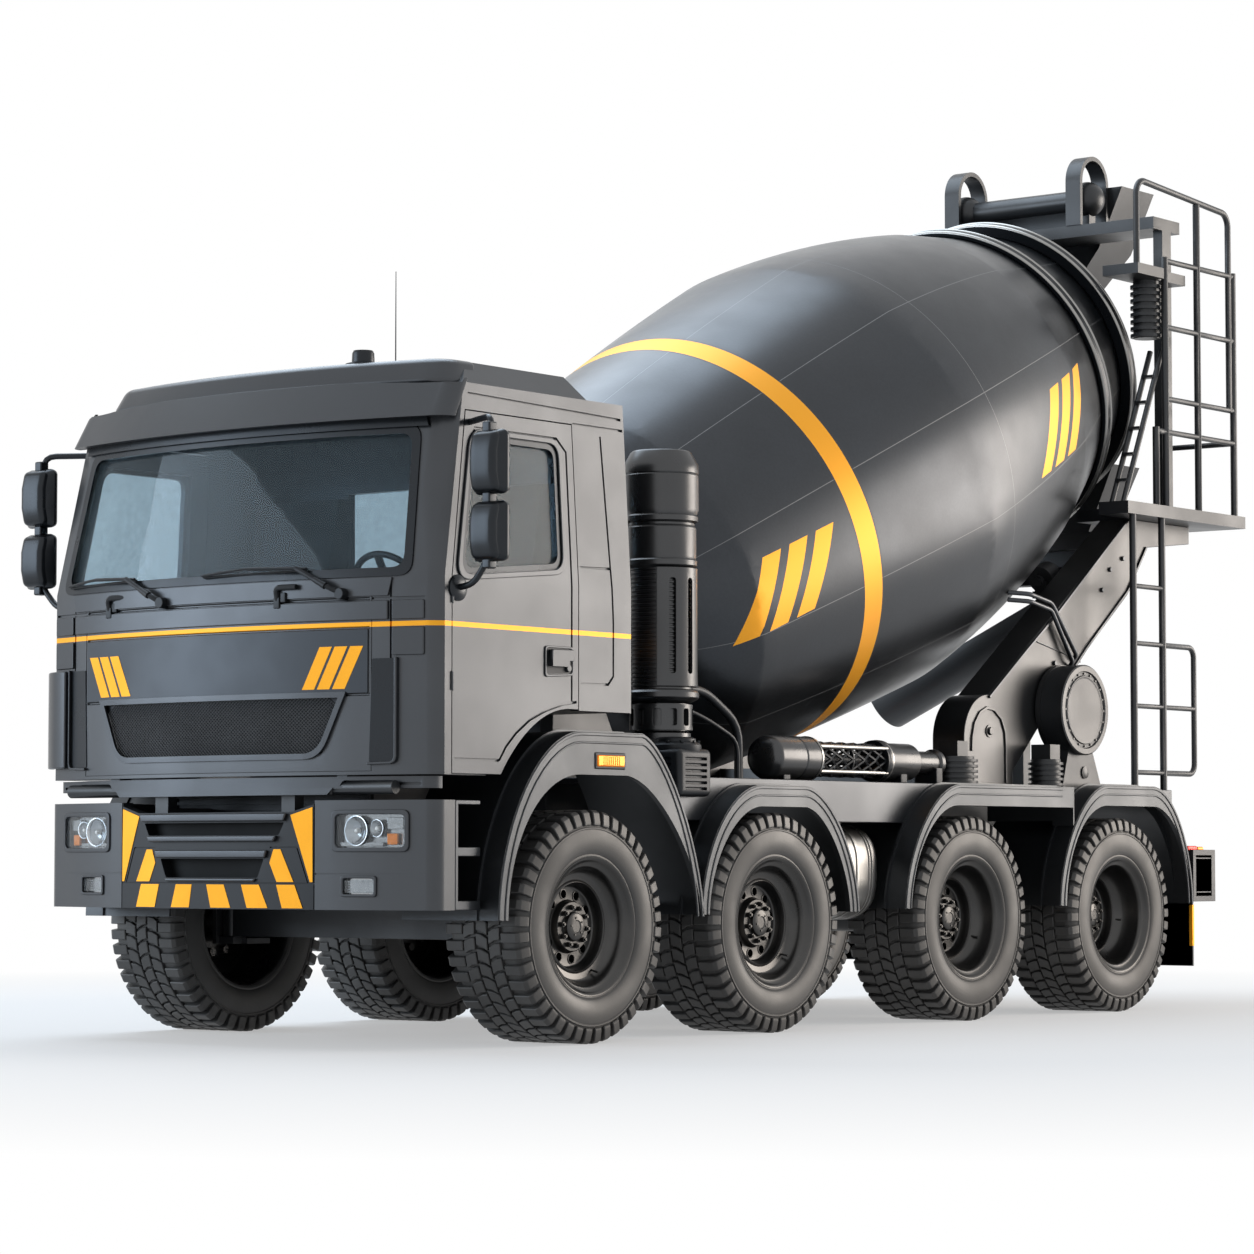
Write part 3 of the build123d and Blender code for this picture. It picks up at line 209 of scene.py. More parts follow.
def bent(points, radius, corner=0.05, sides=12):
    """A tube of straight runs with a small bend at each corner."""
    path = [Vector(points[0])]
    for before, here, after in zip(points, points[1:], points[2:]):
        before, here, after = Vector(before), Vector(here), Vector(after)
        into, out = (here - before), (after - here)
        cut = min(corner, into.length * 0.45, out.length * 0.45)
        first, last = here - into.normalized() * cut, here + out.normalized() * cut
        for step in range(5):
            t = step / 4
            path.append(first * (1 - t) ** 2 + here * 2 * t * (1 - t) + last * t ** 2)
    path.append(Vector(points[-1]))
    deselect()
    bpy.ops.curve.primitive_nurbs_path_add()
    piece = bpy.context.object
    curve = piece.data
    curve.splines.clear()
    spline = curve.splines.new("POLY")
    spline.points.add(len(path) - 1)
    for knot, point in zip(spline.points, path):
        knot.co = (*point, 1)
    curve.bevel_depth = radius
    curve.bevel_resolution = max(1, sides // 4)
    curve.use_fill_caps = True
    activate(piece)
    bpy.ops.object.convert(target="MESH")
    return bake_place(bpy.context.object)


def moved(piece, matrix):
    piece.data.transform(matrix)
    if matrix.determinant() < 0:
        piece.data.flip_normals()
    piece.data.update()
    return piece


def copy_of(piece, matrix=Matrix.Identity(4)):
    """A copy with its own mesh."""
    twin = piece.copy()
    twin.data = piece.data.copy()
    bpy.context.scene.collection.objects.link(twin)
    return moved(twin, matrix)


def joined(pieces):
    pieces = list(pieces)
    deselect()
    for piece in pieces:
        piece.select_set(True)
    bpy.context.view_layer.objects.active = pieces[0]
    if len(pieces) > 1:
        bpy.ops.object.join()
    return bpy.context.object


def mirrored(piece):
    return copy_of(piece, FLIP)


def both(piece):
    return joined([piece, mirrored(piece)])


def around(piece, count, axis="Z"):
    """A ring of copies about an axis through the origin, in one mesh."""
    return joined([piece] + [copy_of(piece, Matrix.Rotation(math.tau * n / count, 4, axis)) for n in range(1, count)])


def row(piece, count, step):
    """A row of copies along a vector, in one mesh."""
    return joined([piece] + [copy_of(piece, Matrix.Translation(Vector(step) * n)) for n in range(1, count)])


def cut(piece, cutter):
    """Take the cutter's form out of a piece."""
    activate(piece)
    modifier = piece.modifiers.new("cut", "BOOLEAN")
    modifier.operation = "DIFFERENCE"
    modifier.solver = "EXACT"
    modifier.object = cutter
    bpy.ops.object.modifier_apply(modifier=modifier.name)
    bpy.data.objects.remove(cutter)
    return piece


def axis_frame(origin, along, up=(0, 0, 1)):
    """The matrix that puts a piece drawn about Z on a line, with its X towards up."""
    z = Vector(along).normalized()
    x = (Vector(up) - z * z.dot(Vector(up))).normalized()
    turn = Matrix((x, z.cross(x), z)).transposed().to_4x4()
    return Matrix.Translation(origin) @ turn


ACROSS = Matrix.Rotation(math.pi / 2, 4, "Y")           # turns a piece drawn about +Z to point along +X
LENGTHWISE = Matrix.Rotation(-math.pi / 2, 4, "X")      # and to point along +Y
FORWARDS = Matrix.Rotation(math.pi / 2, 4, "X")         # and to point along -Y; a plate drawn in XY stands in XZ
SIDEWAYS = Matrix(((0, 0, 1, 0), (1, 0, 0, 0), (0, 1, 0, 0), (0, 0, 0, 1)))      # a plate drawn in XY stands in YZ
NO_TURN = Matrix.Identity(4)
FLIP = Matrix.Scale(-1, 4, (1, 0, 0))                   # the left side's image on the right


def placed(piece, x, y, z, turn=NO_TURN):
    """Put a piece drawn at the origin at a place, after a turn."""
    return moved(piece, Matrix.Translation(at(x, y, z)) @ turn)


def raised(piece, height):
    return moved(piece, Matrix.Translation((0, 0, height)))


def done(piece, name, body, material, smooth=35):
    """Name a finished piece, give it its material and let it ride on its body."""
    piece.name = name
    piece.data.name = name
    piece.data.materials.clear()
    piece.data.materials.append(material)
    bake_place(piece)
    bpy.ops.object.shade_smooth_by_angle(angle=math.radians(smooth))
    apply_modifier(piece, "WEIGHTED_NORMAL", keep_sharp=True, weight=80)
    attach(piece, body)
    return piece


# ---------------------------------------------------------------- materials
SOCKETS = {"Vector": "NodeSocketVector", "Normal": "NodeSocketVector", "Color": "NodeSocketColor"}


def new_group(name, inputs, outputs):
    """A shader node group with its named sockets, as group, inputs and outputs; a socket is a number by default."""
    group = bpy.data.node_groups.new(name, "ShaderNodeTree")
    for label, value in inputs.items():
        kind = SOCKETS.get(label, "NodeSocketFloat")
        socket = group.interface.new_socket(name=label, in_out="INPUT", socket_type=kind)
        if value is not None:
            socket.default_value = value
    for label in outputs:
        kind = SOCKETS.get(label, "NodeSocketFloat")
        group.interface.new_socket(name=label, in_out="OUTPUT", socket_type=kind)
    return group, group.nodes.new("NodeGroupInput").outputs, group.nodes.new("NodeGroupOutput").inputs


def link(tree, pairs):
    for source, target in pairs:
        tree.links.new(source, target)


def math_node(tree, operation, first, second=None, third=None):
    node = tree.nodes.new("ShaderNodeMath")
    node.operation = operation
    for number, value in enumerate((first, second, third)):
        if value is None:
            continue
        if isinstance(value, (int, float)):
            node.inputs[number].default_value = value
        else:
            tree.links.new(value, node.inputs[number])
    return node.outputs[0]


def noise(tree, vector, scale, detail=2.0, roughness=0.5):
    node = tree.nodes.new("ShaderNodeTexNoise")
    node.inputs["Detail"].default_value = detail
    node.inputs["Roughness"].default_value = roughness
    if isinstance(scale, (int, float)):
        node.inputs["Scale"].default_value = scale
    else:
        tree.links.new(scale, node.inputs["Scale"])
    tree.links.new(vector, node.inputs["Vector"])
    return node.outputs["Fac"]


def remap(tree, value, low, high, new_low, new_high):
    node = tree.nodes.new("ShaderNodeMapRange")
    for key, number in (("From Min", low), ("From Max", high), ("To Min", new_low), ("To Max", new_high)):
        if isinstance(number, (int, float)):
            node.inputs[key].default_value = number
        else:
            tree.links.new(number, node.inputs[key])
    tree.links.new(value, node.inputs["Value"])
    return node.outputs["Result"]


def mix_color(tree, factor, first, second):
    node = tree.nodes.new("ShaderNodeMix")
    node.data_type = "RGBA"
    for socket, value in ((node.inputs[0], factor), (node.inputs[6], first), (node.inputs[7], second)):
        if isinstance(value, (tuple, list)):
            socket.default_value = (*value[:3], 1)
        elif isinstance(value, (int, float)):
            socket.default_value = value
        else:
            tree.links.new(value, socket)
    return node.outputs[2]


def between(tree, value, low, high):
    return math_node(tree, "MULTIPLY", math_node(tree, "GREATER_THAN", value, low),
                     math_node(tree, "LESS_THAN", value, high))


def make_surface_group():
    """Slow shade and gloss variation with a fine grain, for any painted, moulded or cast surface."""
    group, inside, out = new_group(
        "surface", {"Vector": None, "Color": (0.5, 0.5, 0.5, 1), "Shade": 0.1, "Roughness": 0.4, "Spread": 0.05,
                    "Grain Scale": 200.0, "Grain Depth": 0.1}, ("Color", "Roughness", "Normal"))
    slow = noise(group, inside["Vector"], 2.3, 4.0, 0.55)
    fine = noise(group, inside["Vector"], inside["Grain Scale"], 3.0, 0.6)
    low = math_node(group, "SUBTRACT", 1.0, inside["Shade"])
    high = math_node(group, "ADD", 1.0, inside["Shade"])
    shade = remap(group, slow, 0.3, 0.7, low, high)
    speck = remap(group, fine, 0.3, 0.7, 0.94, 1.06)
    factor = math_node(group, "MULTIPLY", shade, speck)
    scaled = group.nodes.new("ShaderNodeVectorMath")
    scaled.operation = "SCALE"
    bump = group.nodes.new("ShaderNodeBump")
    bump.inputs["Distance"].default_value = 0.002
    gloss_low = math_node(group, "SUBTRACT", inside["Roughness"], inside["Spread"])
    gloss_high = math_node(group, "ADD", inside["Roughness"], inside["Spread"])
    gloss = remap(group, slow, 0.35, 0.65, gloss_high, gloss_low)
    link(group, [(inside["Color"], scaled.inputs[0]), (factor, scaled.inputs["Scale"]),
                 (scaled.outputs[0], out["Color"]), (gloss, out["Roughness"]), (fine, bump.inputs["Height"]),
                 (inside["Grain Depth"], bump.inputs["Strength"]), (bump.outputs["Normal"], out["Normal"])])
    return group


def make_band_group():
    """1 where a coordinate lies between two values, with a crisp edge."""
    group, inside, out = new_group("band", {"Value": 0.0, "Low": 0.0, "High": 1.0}, ("Mask",))
    link(group, [(between(group, inside["Value"], inside["Low"], inside["High"]), out["Mask"])])
    return group


def make_bars_group():
    """Slanted bars: U runs across them and V up them."""
    group, inside, out = new_group("bars", {"U": 0.0, "V": 0.0, "Start": 0.0, "Pitch": 0.2, "Width": 0.14,
                                            "Count": 3.0, "Slant": 0.7, "Low": -0.2, "High": 0.2}, ("Mask",))
    lean = math_node(group, "MULTIPLY", inside["V"], inside["Slant"])
    across = math_node(group, "SUBTRACT", math_node(group, "SUBTRACT", inside["U"], lean), inside["Start"])
    phase = math_node(group, "FLOORED_MODULO", across, inside["Pitch"])
    on_bar = math_node(group, "LESS_THAN", phase, inside["Width"])
    total = math_node(group, "MULTIPLY", inside["Pitch"], inside["Count"])
    span = between(group, across, 0.0, total)
    tall = between(group, inside["V"], inside["Low"], inside["High"])
    link(group, [(math_node(group, "MULTIPLY", math_node(group, "MULTIPLY", on_bar, span), tall), out["Mask"])])
    return group


SURFACE = make_surface_group()
BAND = make_band_group()
BARS = make_bars_group()


class Finish:
    """One material under construction: its tree, its Object coordinates and its Principled shader."""

    def __init__(self, name, slot=None, **values):
        self.material = bpy.data.materials.new(name)
        self.material.use_nodes = True
        if slot:
            self.material["slot"] = slot
        self.tree = self.material.node_tree
        self.shader = self.tree.nodes["Principled BSDF"]
        for key, value in values.items():
            self.shader.inputs[key.replace("_", " ")].default_value = value
        self.place = self.tree.nodes.new("ShaderNodeTexCoord").outputs["Object"]
        parts = self.tree.nodes.new("ShaderNodeSeparateXYZ")
        self.tree.links.new(self.place, parts.inputs[0])
        self.x, self.y, self.z = parts.outputs

    def use(self, group, **values):
        node = self.tree.nodes.new("ShaderNodeGroup")
        node.node_tree = group
        for key, value in values.items():
            socket = node.inputs[key.replace("_", " ")]
            if isinstance(value, tuple):
                socket.default_value = (*value[:3], 1)
            elif isinstance(value, (int, float)):
                socket.default_value = value
            else:
                self.tree.links.new(value, socket)
        return node

    def math(self, operation, *values):
        return math_node(self.tree, operation, *values)

    def dress(self, color, shade=0.08, roughness=0.4, spread=0.05, grain=260.0, depth=0.08, vector=None):
        """Colour, gloss and grain through the shared surface group."""
        node = self.use(SURFACE, Vector=vector or self.place, Color=color, Shade=shade, Roughness=roughness,
                        Spread=spread, Grain_Scale=grain, Grain_Depth=depth)
        link(self.tree, [(node.outputs["Color"], self.shader.inputs["Base Color"]),
                         (node.outputs["Roughness"], self.shader.inputs["Roughness"]),
                         (node.outputs["Normal"], self.shader.inputs["Normal"])])
        return node

    def stripe(self, mask, color):
        """Lay a flat colour over the base colour where the mask is 1."""
        base = self.shader.inputs["Base Color"].links[0].from_socket
        painted = mix_color(self.tree, mask, base, color)
        self.tree.links.new(painted, self.shader.inputs["Base Color"])
        metal = self.shader.inputs["Metallic"]
        before = metal.links[0].from_socket if metal.links else metal.default_value
        bare = self.math("SUBTRACT", 1.0, mask)
        self.tree.links.new(self.math("MULTIPLY_ADD", mask, 0.5, self.math("MULTIPLY", before, bare)), metal)
        rough = self.shader.inputs["Roughness"]
        gloss = self.math("MULTIPLY", rough.links[0].from_socket, bare)
        self.tree.links.new(self.math("MULTIPLY_ADD", mask, 0.5, gloss), rough)


YELLOW = (0.93, 0.40, 0.008)


def plain(name, color, slot, metallic=0.0, **dressing):
    """A finish of one colour all over."""
    finish = Finish(name, slot, Metallic=metallic)
    finish.dress(color, **dressing)
    return finish.material


GRAPHITE = (0.062, 0.066, 0.072)

body_paint = plain("graphite_paint", GRAPHITE, "body_paint", metallic=0.85, roughness=0.33, shade=0.05, spread=0.03,
                   grain=420.0, depth=0.05)
fender_paint = plain("fender_paint", (0.060, 0.064, 0.069), "fender_grey", metallic=0.85, roughness=0.38, shade=0.05,
                     grain=340.0, depth=0.06)
arm_paint = plain("arm_paint", (0.066, 0.067, 0.069), "chassis_paint", metallic=0.85, roughness=0.38, shade=0.06,
                  grain=300.0, depth=0.06)
chassis_paint = plain("chassis_paint", (0.046, 0.048, 0.051), "chassis_paint", metallic=0.6, roughness=0.40,
                      shade=0.10, grain=300.0, depth=0.08)
sign_paint = plain("flap_paint", (0.034, 0.039, 0.046), "body_paint", metallic=0.6, roughness=0.38, shade=0.05,
                   grain=420.0, depth=0.04)
black_trim = plain("black_trim", (0.016, 0.018, 0.021), "trim_black", metallic=0.6, roughness=0.42, shade=0.15,
                   grain=500.0, depth=0.12)
deep_black = plain("deep_black", (0.004, 0.005, 0.006), "trim_black", metallic=0.7, roughness=0.6, shade=0.1,
                   grain=200.0, depth=0.1)
black_gloss = plain("black_gloss", (0.022, 0.025, 0.029), "mirror_glass", metallic=0.7, roughness=0.30, shade=0.1,
                    grain=300.0, depth=0.02)
stack_metal = plain("stack_metal", (0.070, 0.071, 0.073), "cast_dark", metallic=0.85, roughness=0.30, shade=0.06,
                    grain=300.0, depth=0.05)
mesh_metal = plain("mesh_metal", (0.130, 0.134, 0.140), "trim_black", metallic=0.8, roughness=0.42, shade=0.1,
                   grain=500.0, depth=0.05)
rubber = plain("tyre_rubber", (0.052, 0.050, 0.048), "tyre_rubber", roughness=0.50, shade=0.25, spread=0.08,
               grain=180.0, depth=0.12)
rim_metal = plain("rim_metal", (0.062, 0.061, 0.060), "rim_steel", metallic=0.9, roughness=0.30, shade=0.12,
                  grain=260.0, depth=0.05)
steel = plain("bright_steel", (0.30, 0.295, 0.285), "steel_bright", metallic=1.0, roughness=0.30, shade=0.10,
              grain=240.0, depth=0.06)
tank_metal = plain("tank_aluminium", (0.34, 0.335, 0.325), "tank_aluminium", metallic=1.0, roughness=0.34, shade=0.06,
                   grain=260.0, depth=0.04)
cast_iron = plain("cast_iron", (0.05, 0.05, 0.052), "cast_dark", metallic=0.4, roughness=0.5, shade=0.2,
                  grain=150.0, depth=0.35)
seat_cloth = plain("seat_cloth", (0.03, 0.032, 0.036), "seat_cloth", roughness=0.8, shade=0.15, grain=900.0,
                   depth=0.5)
yellow_tape = plain("yellow_tape", YELLOW, "body_paint", metallic=0.5, roughness=0.50, shade=0.03, grain=300.0,
                    depth=0.03)
lamp_silver = plain("lamp_silver", (0.42, 0.44, 0.46), "steel_bright", metallic=1.0, roughness=0.16, shade=0.05,
                    grain=60.0, depth=0.05)
mirror_silver = plain("mirror_silver", (0.70, 0.72, 0.74), "steel_bright", metallic=1.0, roughness=0.05, shade=0.02,
                      grain=40.0, depth=0.01)
bulb_white = plain("bulb_white", (0.80, 0.80, 0.78), "lamp_clear", roughness=0.25, shade=0.02, grain=60.0, depth=0.02)
amber_lens, red_lens = (plain(name, color, "lamp_clear", metallic=0.5, roughness=0.25, shade=0.10, grain=260.0,
                              depth=0.25)
                        for name, color in (("amber_lens", (0.95, 0.27, 0.01)), ("red_lens", (0.62, 0.02, 0.01))))


def make_glass(name, tint, slot, ior=1.15):
    finish = Finish(name, slot, Metallic=0.0, Transmission_Weight=0.95, IOR=ior)
    finish.dress(tint, shade=0.02, roughness=0.0, spread=0.0, grain=30.0, depth=0.0)
    return finish.material


window_glass = make_glass("window_glass", (0.50, 0.60, 0.66), "glass_dark")
clear_lens = make_glass("clear_lens", (0.80, 0.83, 0.85), "lamp_clear", ior=1.3)


def drum_coordinates(finish):
    """Station along the drum's axis, height across it and the angle round it."""
    dots = []
    for direction in (DRUM_AXIS, DRUM_UP):
        offset = finish.tree.nodes.new("ShaderNodeVectorMath")
        offset.operation = "SUBTRACT"
        offset.inputs[1].default_value = DRUM_ORIGIN
        finish.tree.links.new(finish.place, offset.inputs[0])
        dot = finish.tree.nodes.new("ShaderNodeVectorMath")
        dot.operation = "DOT_PRODUCT"
        dot.inputs[1].default_value = direction
        finish.tree.links.new(offset.outputs[0], dot.inputs[0])
        dots.append(dot.outputs["Value"])
    station, height = dots
    angle = finish.math("MULTIPLY", finish.math("ARCTAN2", height, finish.x), 180 / math.pi)
    return station, height, angle


# Metres along the drum's axis from its joint, and degrees round it
SEAM_STATION, SEAM_RING_WIDTH = 1.31, 0.004
SEAM_ANGLE, SEAM_PITCH, SEAM_TURN = 18.0, 30.0, 0.22
BAND_LOW, BAND_HIGH = -0.04, 0.10
BAND_EDGES, EDGE_WIDTH = (-0.049, 0.105), 0.006
BAR_PITCH, BAR_WIDTH, BAR_COUNT = 0.20, 0.135, 3
DRUM_BARS = ((-0.82, 0.71, -0.205, 0.16), (1.85, 0.85, -0.215, 0.185))      # start, slant, low, high
BARS_FROM_MIDDLE = 0.3


def make_drum_paint():
    finish = Finish("drum_paint", "drum_paint", Metallic=0.85, Coat_Weight=0.15, Coat_Roughness=0.3)
    finish.dress((0.038, 0.042, 0.048), shade=0.10, roughness=0.32, spread=0.04, grain=70.0, depth=0.10)
    station, height, angle = drum_coordinates(finish)
    turned = finish.math("FLOORED_MODULO", finish.math("ADD", angle, 360 - SEAM_ANGLE), SEAM_PITCH)
    long_seam = finish.math("LESS_THAN", turned, SEAM_TURN)
    ring_seam = finish.use(BAND, Value=station, Low=SEAM_STATION, High=SEAM_STATION + SEAM_RING_WIDTH).outputs[0]
    seam = finish.math("MAXIMUM", long_seam, ring_seam)
    finish.stripe(seam, (0.16, 0.165, 0.17))
    for edge in BAND_EDGES:
        finish.stripe(finish.use(BAND, Value=station, Low=edge, High=edge + EDGE_WIDTH).outputs[0], (0.03, 0.03, 0.03))
    finish.stripe(finish.use(BAND, Value=station, Low=BAND_LOW, High=BAND_HIGH).outputs[0], YELLOW)
    for start, slant, low, high in DRUM_BARS:
        bars = finish.use(BARS, U=station, V=height, Start=start, Pitch=BAR_PITCH, Width=BAR_WIDTH, Count=BAR_COUNT,
                          Slant=slant, Low=low, High=high).outputs[0]
        facing = finish.math("GREATER_THAN", finish.math("ABSOLUTE", finish.x), BARS_FROM_MIDDLE)
        finish.stripe(finish.math("MULTIPLY", bars, facing), YELLOW)
    return finish.material


drum_paint = make_drum_paint()

WAIST = (1.838, 1.860)
HAZARD_HALF = 0.590


def cab_gloss(name, metallic):
    """The graphite that the cab and the bumper share."""
    finish = Finish(name, "body_paint", Metallic=metallic, Coat_Weight=0.1, Coat_Roughness=0.25)
    finish.dress(GRAPHITE, shade=0.05, roughness=0.36, spread=0.03, grain=420.0, depth=0.05)
    return finish


def make_cab_paint():
    """Graphite with the yellow line that runs round the cab at its waist."""
    finish = cab_gloss("cab_paint", 0.75)
    finish.stripe(finish.use(BAND, Value=finish.z, Low=WAIST[0], High=WAIST[1]).outputs[0], YELLOW)
    return finish.material


cab_paint = make_cab_paint()


def make_bumper_paint():
    """Graphite, darker in the middle, where the hazard stripes stand."""
    finish = cab_gloss("bumper_paint", 0.7)
    middle_part = finish.math("LESS_THAN", finish.math("ABSOLUTE", finish.x), HAZARD_HALF)
    finish.stripe(middle_part, (0.012, 0.014, 0.017))
    return finish.material


bumper_paint = make_bumper_paint()


# ---------------------------------------------------------------- the cab's outer form
BELT_Z = 2.060
ROOF_Z = 2.920
SIDE_LEAN = 0.050
FRONT_LEAN = 0.180
FRONT_CORNER = -1.000
BOW = 0.150
FRONT_REACH = 1.145


def rise(z):
    """How far up the leaning part of the cab a height is, from 0 at the waist to 1 at the roof."""
    return max(0.0, (z - BELT_Z) / (ROOF_Z - BELT_Z))


def front_y(x, z):
    """Where the cab's bowed front stands, from the first axle."""
    reach = FRONT_REACH - SIDE_LEAN * rise(z)
    radius = (reach ** 2 + BOW ** 2) / (2 * BOW)
    x = max(-reach, min(reach, x))
    return FRONT_CORNER - BOW + FRONT_LEAN * rise(z) + radius - math.sqrt(radius ** 2 - x ** 2)


def rounded(points, radius, steps=4):
    """An outline whose corners are small curves; a tuple gives each corner its own."""
    outline = []
    for n, here in enumerate(points):
        here = Vector(here)
        reach = radius[n] if isinstance(radius, (tuple, list)) else radius
        if not reach:
            outline.append(tuple(here))
            continue
        before, after = Vector(points[n - 1]) - here, Vector(points[(n + 1) % len(points)]) - here
        first = here + before.normalized() * min(reach, before.length * 0.49)
        last = here + after.normalized() * min(reach, after.length * 0.49)
        for step in range(steps + 1):
            t = step / steps
            outline.append(tuple(first * (1 - t) ** 2 + here * 2 * t * (1 - t) + last * t ** 2))
    return outline


def grown(points, amount):
    """A closed outline moved outwards by an amount; it runs anticlockwise."""
    outline = []
    for n, here in enumerate(points):
        here = Vector(here)
        into = (here - Vector(points[n - 1])).normalized()
        out = (Vector(points[(n + 1) % len(points)]) - here).normalized()
        first, second = Vector((into.y, -into.x)), Vector((out.y, -out.x))
        side = (first + second).normalized()
        outline.append(tuple(here + side * amount / max(0.4, side.dot(first))))
    return outline


def strip(path, width):
    """The outline of a band of one width along an open path."""
    left, right = [], []
    for n, here in enumerate(path):
        here = Vector(here)
        into = (here - Vector(path[n - 1])).normalized() if n else None
        out = (Vector(path[n + 1]) - here).normalized() if n < len(path) - 1 else None
        first, second = into or out, out or into
        side = Vector((-(first + second).y, (first + second).x)).normalized()
        half = width / 2 / max(0.4, side.dot(Vector((-first.y, first.x))))
        left.append(tuple(here + side * half))
        right.append(tuple(here - side * half))
    return left + right[::-1]


def ring_plate(outer, inner, thickness):
    """A flat plate with an opening."""
    plate = sheet_of(outer, thickness)
    hole = moved(sheet_of(inner, thickness * 3), Matrix.Translation((0, 0, -thickness)))
    return cut(plate, hole)


def sliced(plate, axis, places):
    """Cut a plate's faces at places along an axis, so that it can bend there."""
    edit(plate)
    normal = Vector((0, 0, 0))
    normal[axis] = 1
    for place in places:
        bpy.ops.mesh.select_all(action="SELECT")
        bpy.ops.mesh.bisect(plane_co=normal * place, plane_no=normal, use_fill=False)
    leave()
    return plate


FRONT_STEP = 0.11           # how far apart a plate is cut so that it bends with the front
SEAM = 0.012                # width and depth of a seam in the cab's side
PROUD = 0.03                # how far a seam's cutter stands out of the surface


def on_front(plate, lift=0.0, bevel=0.002, segments=2):
    """Lay a plate drawn in (x, z) on the bowed front, its thickness outwards."""
    edges = [vertex.co.x for vertex in plate.data.vertices]
    low, high = min(edges), max(edges)
    count = max(1, round((high - low) / FRONT_STEP))
    sliced(plate, 0, [low + (high - low) * n / count for n in range(1, count)])
    sliced(plate, 1, [BELT_Z])
    for vertex in plate.data.vertices:
        x, z, out = vertex.co
        vertex.co = (x, FIRST_AXLE + front_y(x, z) - lift - out, z)
    return bevelled(plate, bevel, segments)


def on_side(plate, lift=0.0, bevel=0.002, segments=2):
    """Lay a plate drawn in (y from the first axle, z) on the cab's left side, its thickness outwards."""
    sliced(plate, 1, [BELT_Z])
    for vertex in plate.data.vertices:
        y, z, out = vertex.co
        vertex.co = (CAB_SIDE - SIDE_LEAN * rise(z) + lift + out, FIRST_AXLE + y, z)
    return bevelled(plate, bevel, segments)


def side_groove(path):
    """A cutter for a narrow seam in the cab's left side."""
    return on_side(sheet_of(strip(path, SEAM), SEAM + PROUD), -SEAM, 0)


def front_groove(path, width=0.010, depth=0.010):
    """A cutter for a narrow seam in the cab's front."""
    return on_front(sheet_of(strip(path, width), depth + PROUD), -depth, 0)


def rect(x0, z0, x1, z1):
    return (x0, z0), (x1, z0), (x1, z1), (x0, z1)


def taper(half_low, half_high, low, high):
    """A symmetric outline whose foot and top differ in width."""
    return (-half_low, low), (half_low, low), (half_high, high), (-half_high, high)


def front_plate(outline, corner, thickness, lift=0.0, bevel=0.002, segments=2, steps=4):
    """A plate with rounded corners, laid on the bowed front."""
    return on_front(sheet_of(rounded(outline, corner, steps), thickness), lift, bevel, segments)


def front_sheet(outline, thickness, lift=0.0, bevel=0.002, segments=2):
    """A plate with sharp corners, laid on the bowed front."""
    return on_front(sheet_of(outline, thickness), lift, bevel, segments)


DOOR_SEAMS = (
    ((-0.790, 2.250), (-0.752, 2.640), (-0.700, 2.722), (-0.130, 2.722), (-0.066, 2.665), (-0.066, 1.535)),
    ((-0.880, 1.262), (-0.575, 1.262)),
    ((-0.575, 1.262), (-0.53, 1.322), (-0.46, 1.384), (-0.36, 1.447), (-0.25, 1.490), (-0.13, 1.522), (-0.03, 1.535)),
)
SHELL_SIDE_SEAMS = (
    ((0.190, 2.760), (0.222, 2.164), (0.238, 1.913), (0.238, 1.660), (0.200, 1.622), (0.000, 1.618)),
    ((0.000, 2.146), (0.222, 2.152)),
    ((-0.740, 2.872), (0.350, 2.850)),
    ((-0.010, 2.800), (0.360, 2.800)),
)
SHELL_FRONT_SEAMS = (
    ((-1.135, 1.962), (1.135, 1.962)),
    ((0.975, 1.700), (0.975, 2.050)),
    ((-0.975, 1.700), (-0.975, 2.050)),
)
FRONT_SEAMS = (
    ((-0.870, 1.962), (0.870, 1.962)),
    ((-0.872, 1.835), (0.872, 1.835)),
    ((-0.872, 1.545), (-0.735, 1.545)),
    ((0.735, 1.545), (0.872, 1.545)),
)


def seam_door(piece, sign):
    for path in DOOR_SEAMS:
        cutter = side_groove(path)
        cut(piece, cutter if sign > 0 else moved(cutter, FLIP))


def seam_shell(piece):
    for path in SHELL_SIDE_SEAMS:
        cut(piece, both(side_groove(path)))
    for path in SHELL_FRONT_SEAMS:
        cut(piece, front_groove(path))


def seam_front(piece):
    for path in FRONT_SEAMS:
        cut(piece, front_groove(path, 0.010, 0.009))


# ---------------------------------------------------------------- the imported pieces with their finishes
def dressed(node, material, bevel, shape=None):
    """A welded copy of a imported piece, shaped further and with its edges rounded, which stands for it."""
    source = frame["nodes"][node]
    piece = source.copy()
    piece.data = source.data.copy()
    bpy.context.scene.collection.objects.link(piece)
    piece.parent = None
    for key in list(piece.keys()):
        del piece[key]
    edit(piece)
    bpy.ops.mesh.remove_doubles(threshold=0.00005)
    bpy.ops.mesh.dissolve_limited(angle_limit=math.radians(0.2))
    leave()
    if shape:
        shape(piece)
    bevelled(piece, bevel)
    done(piece, node + "_finished", source["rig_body"], material)
    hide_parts(node)


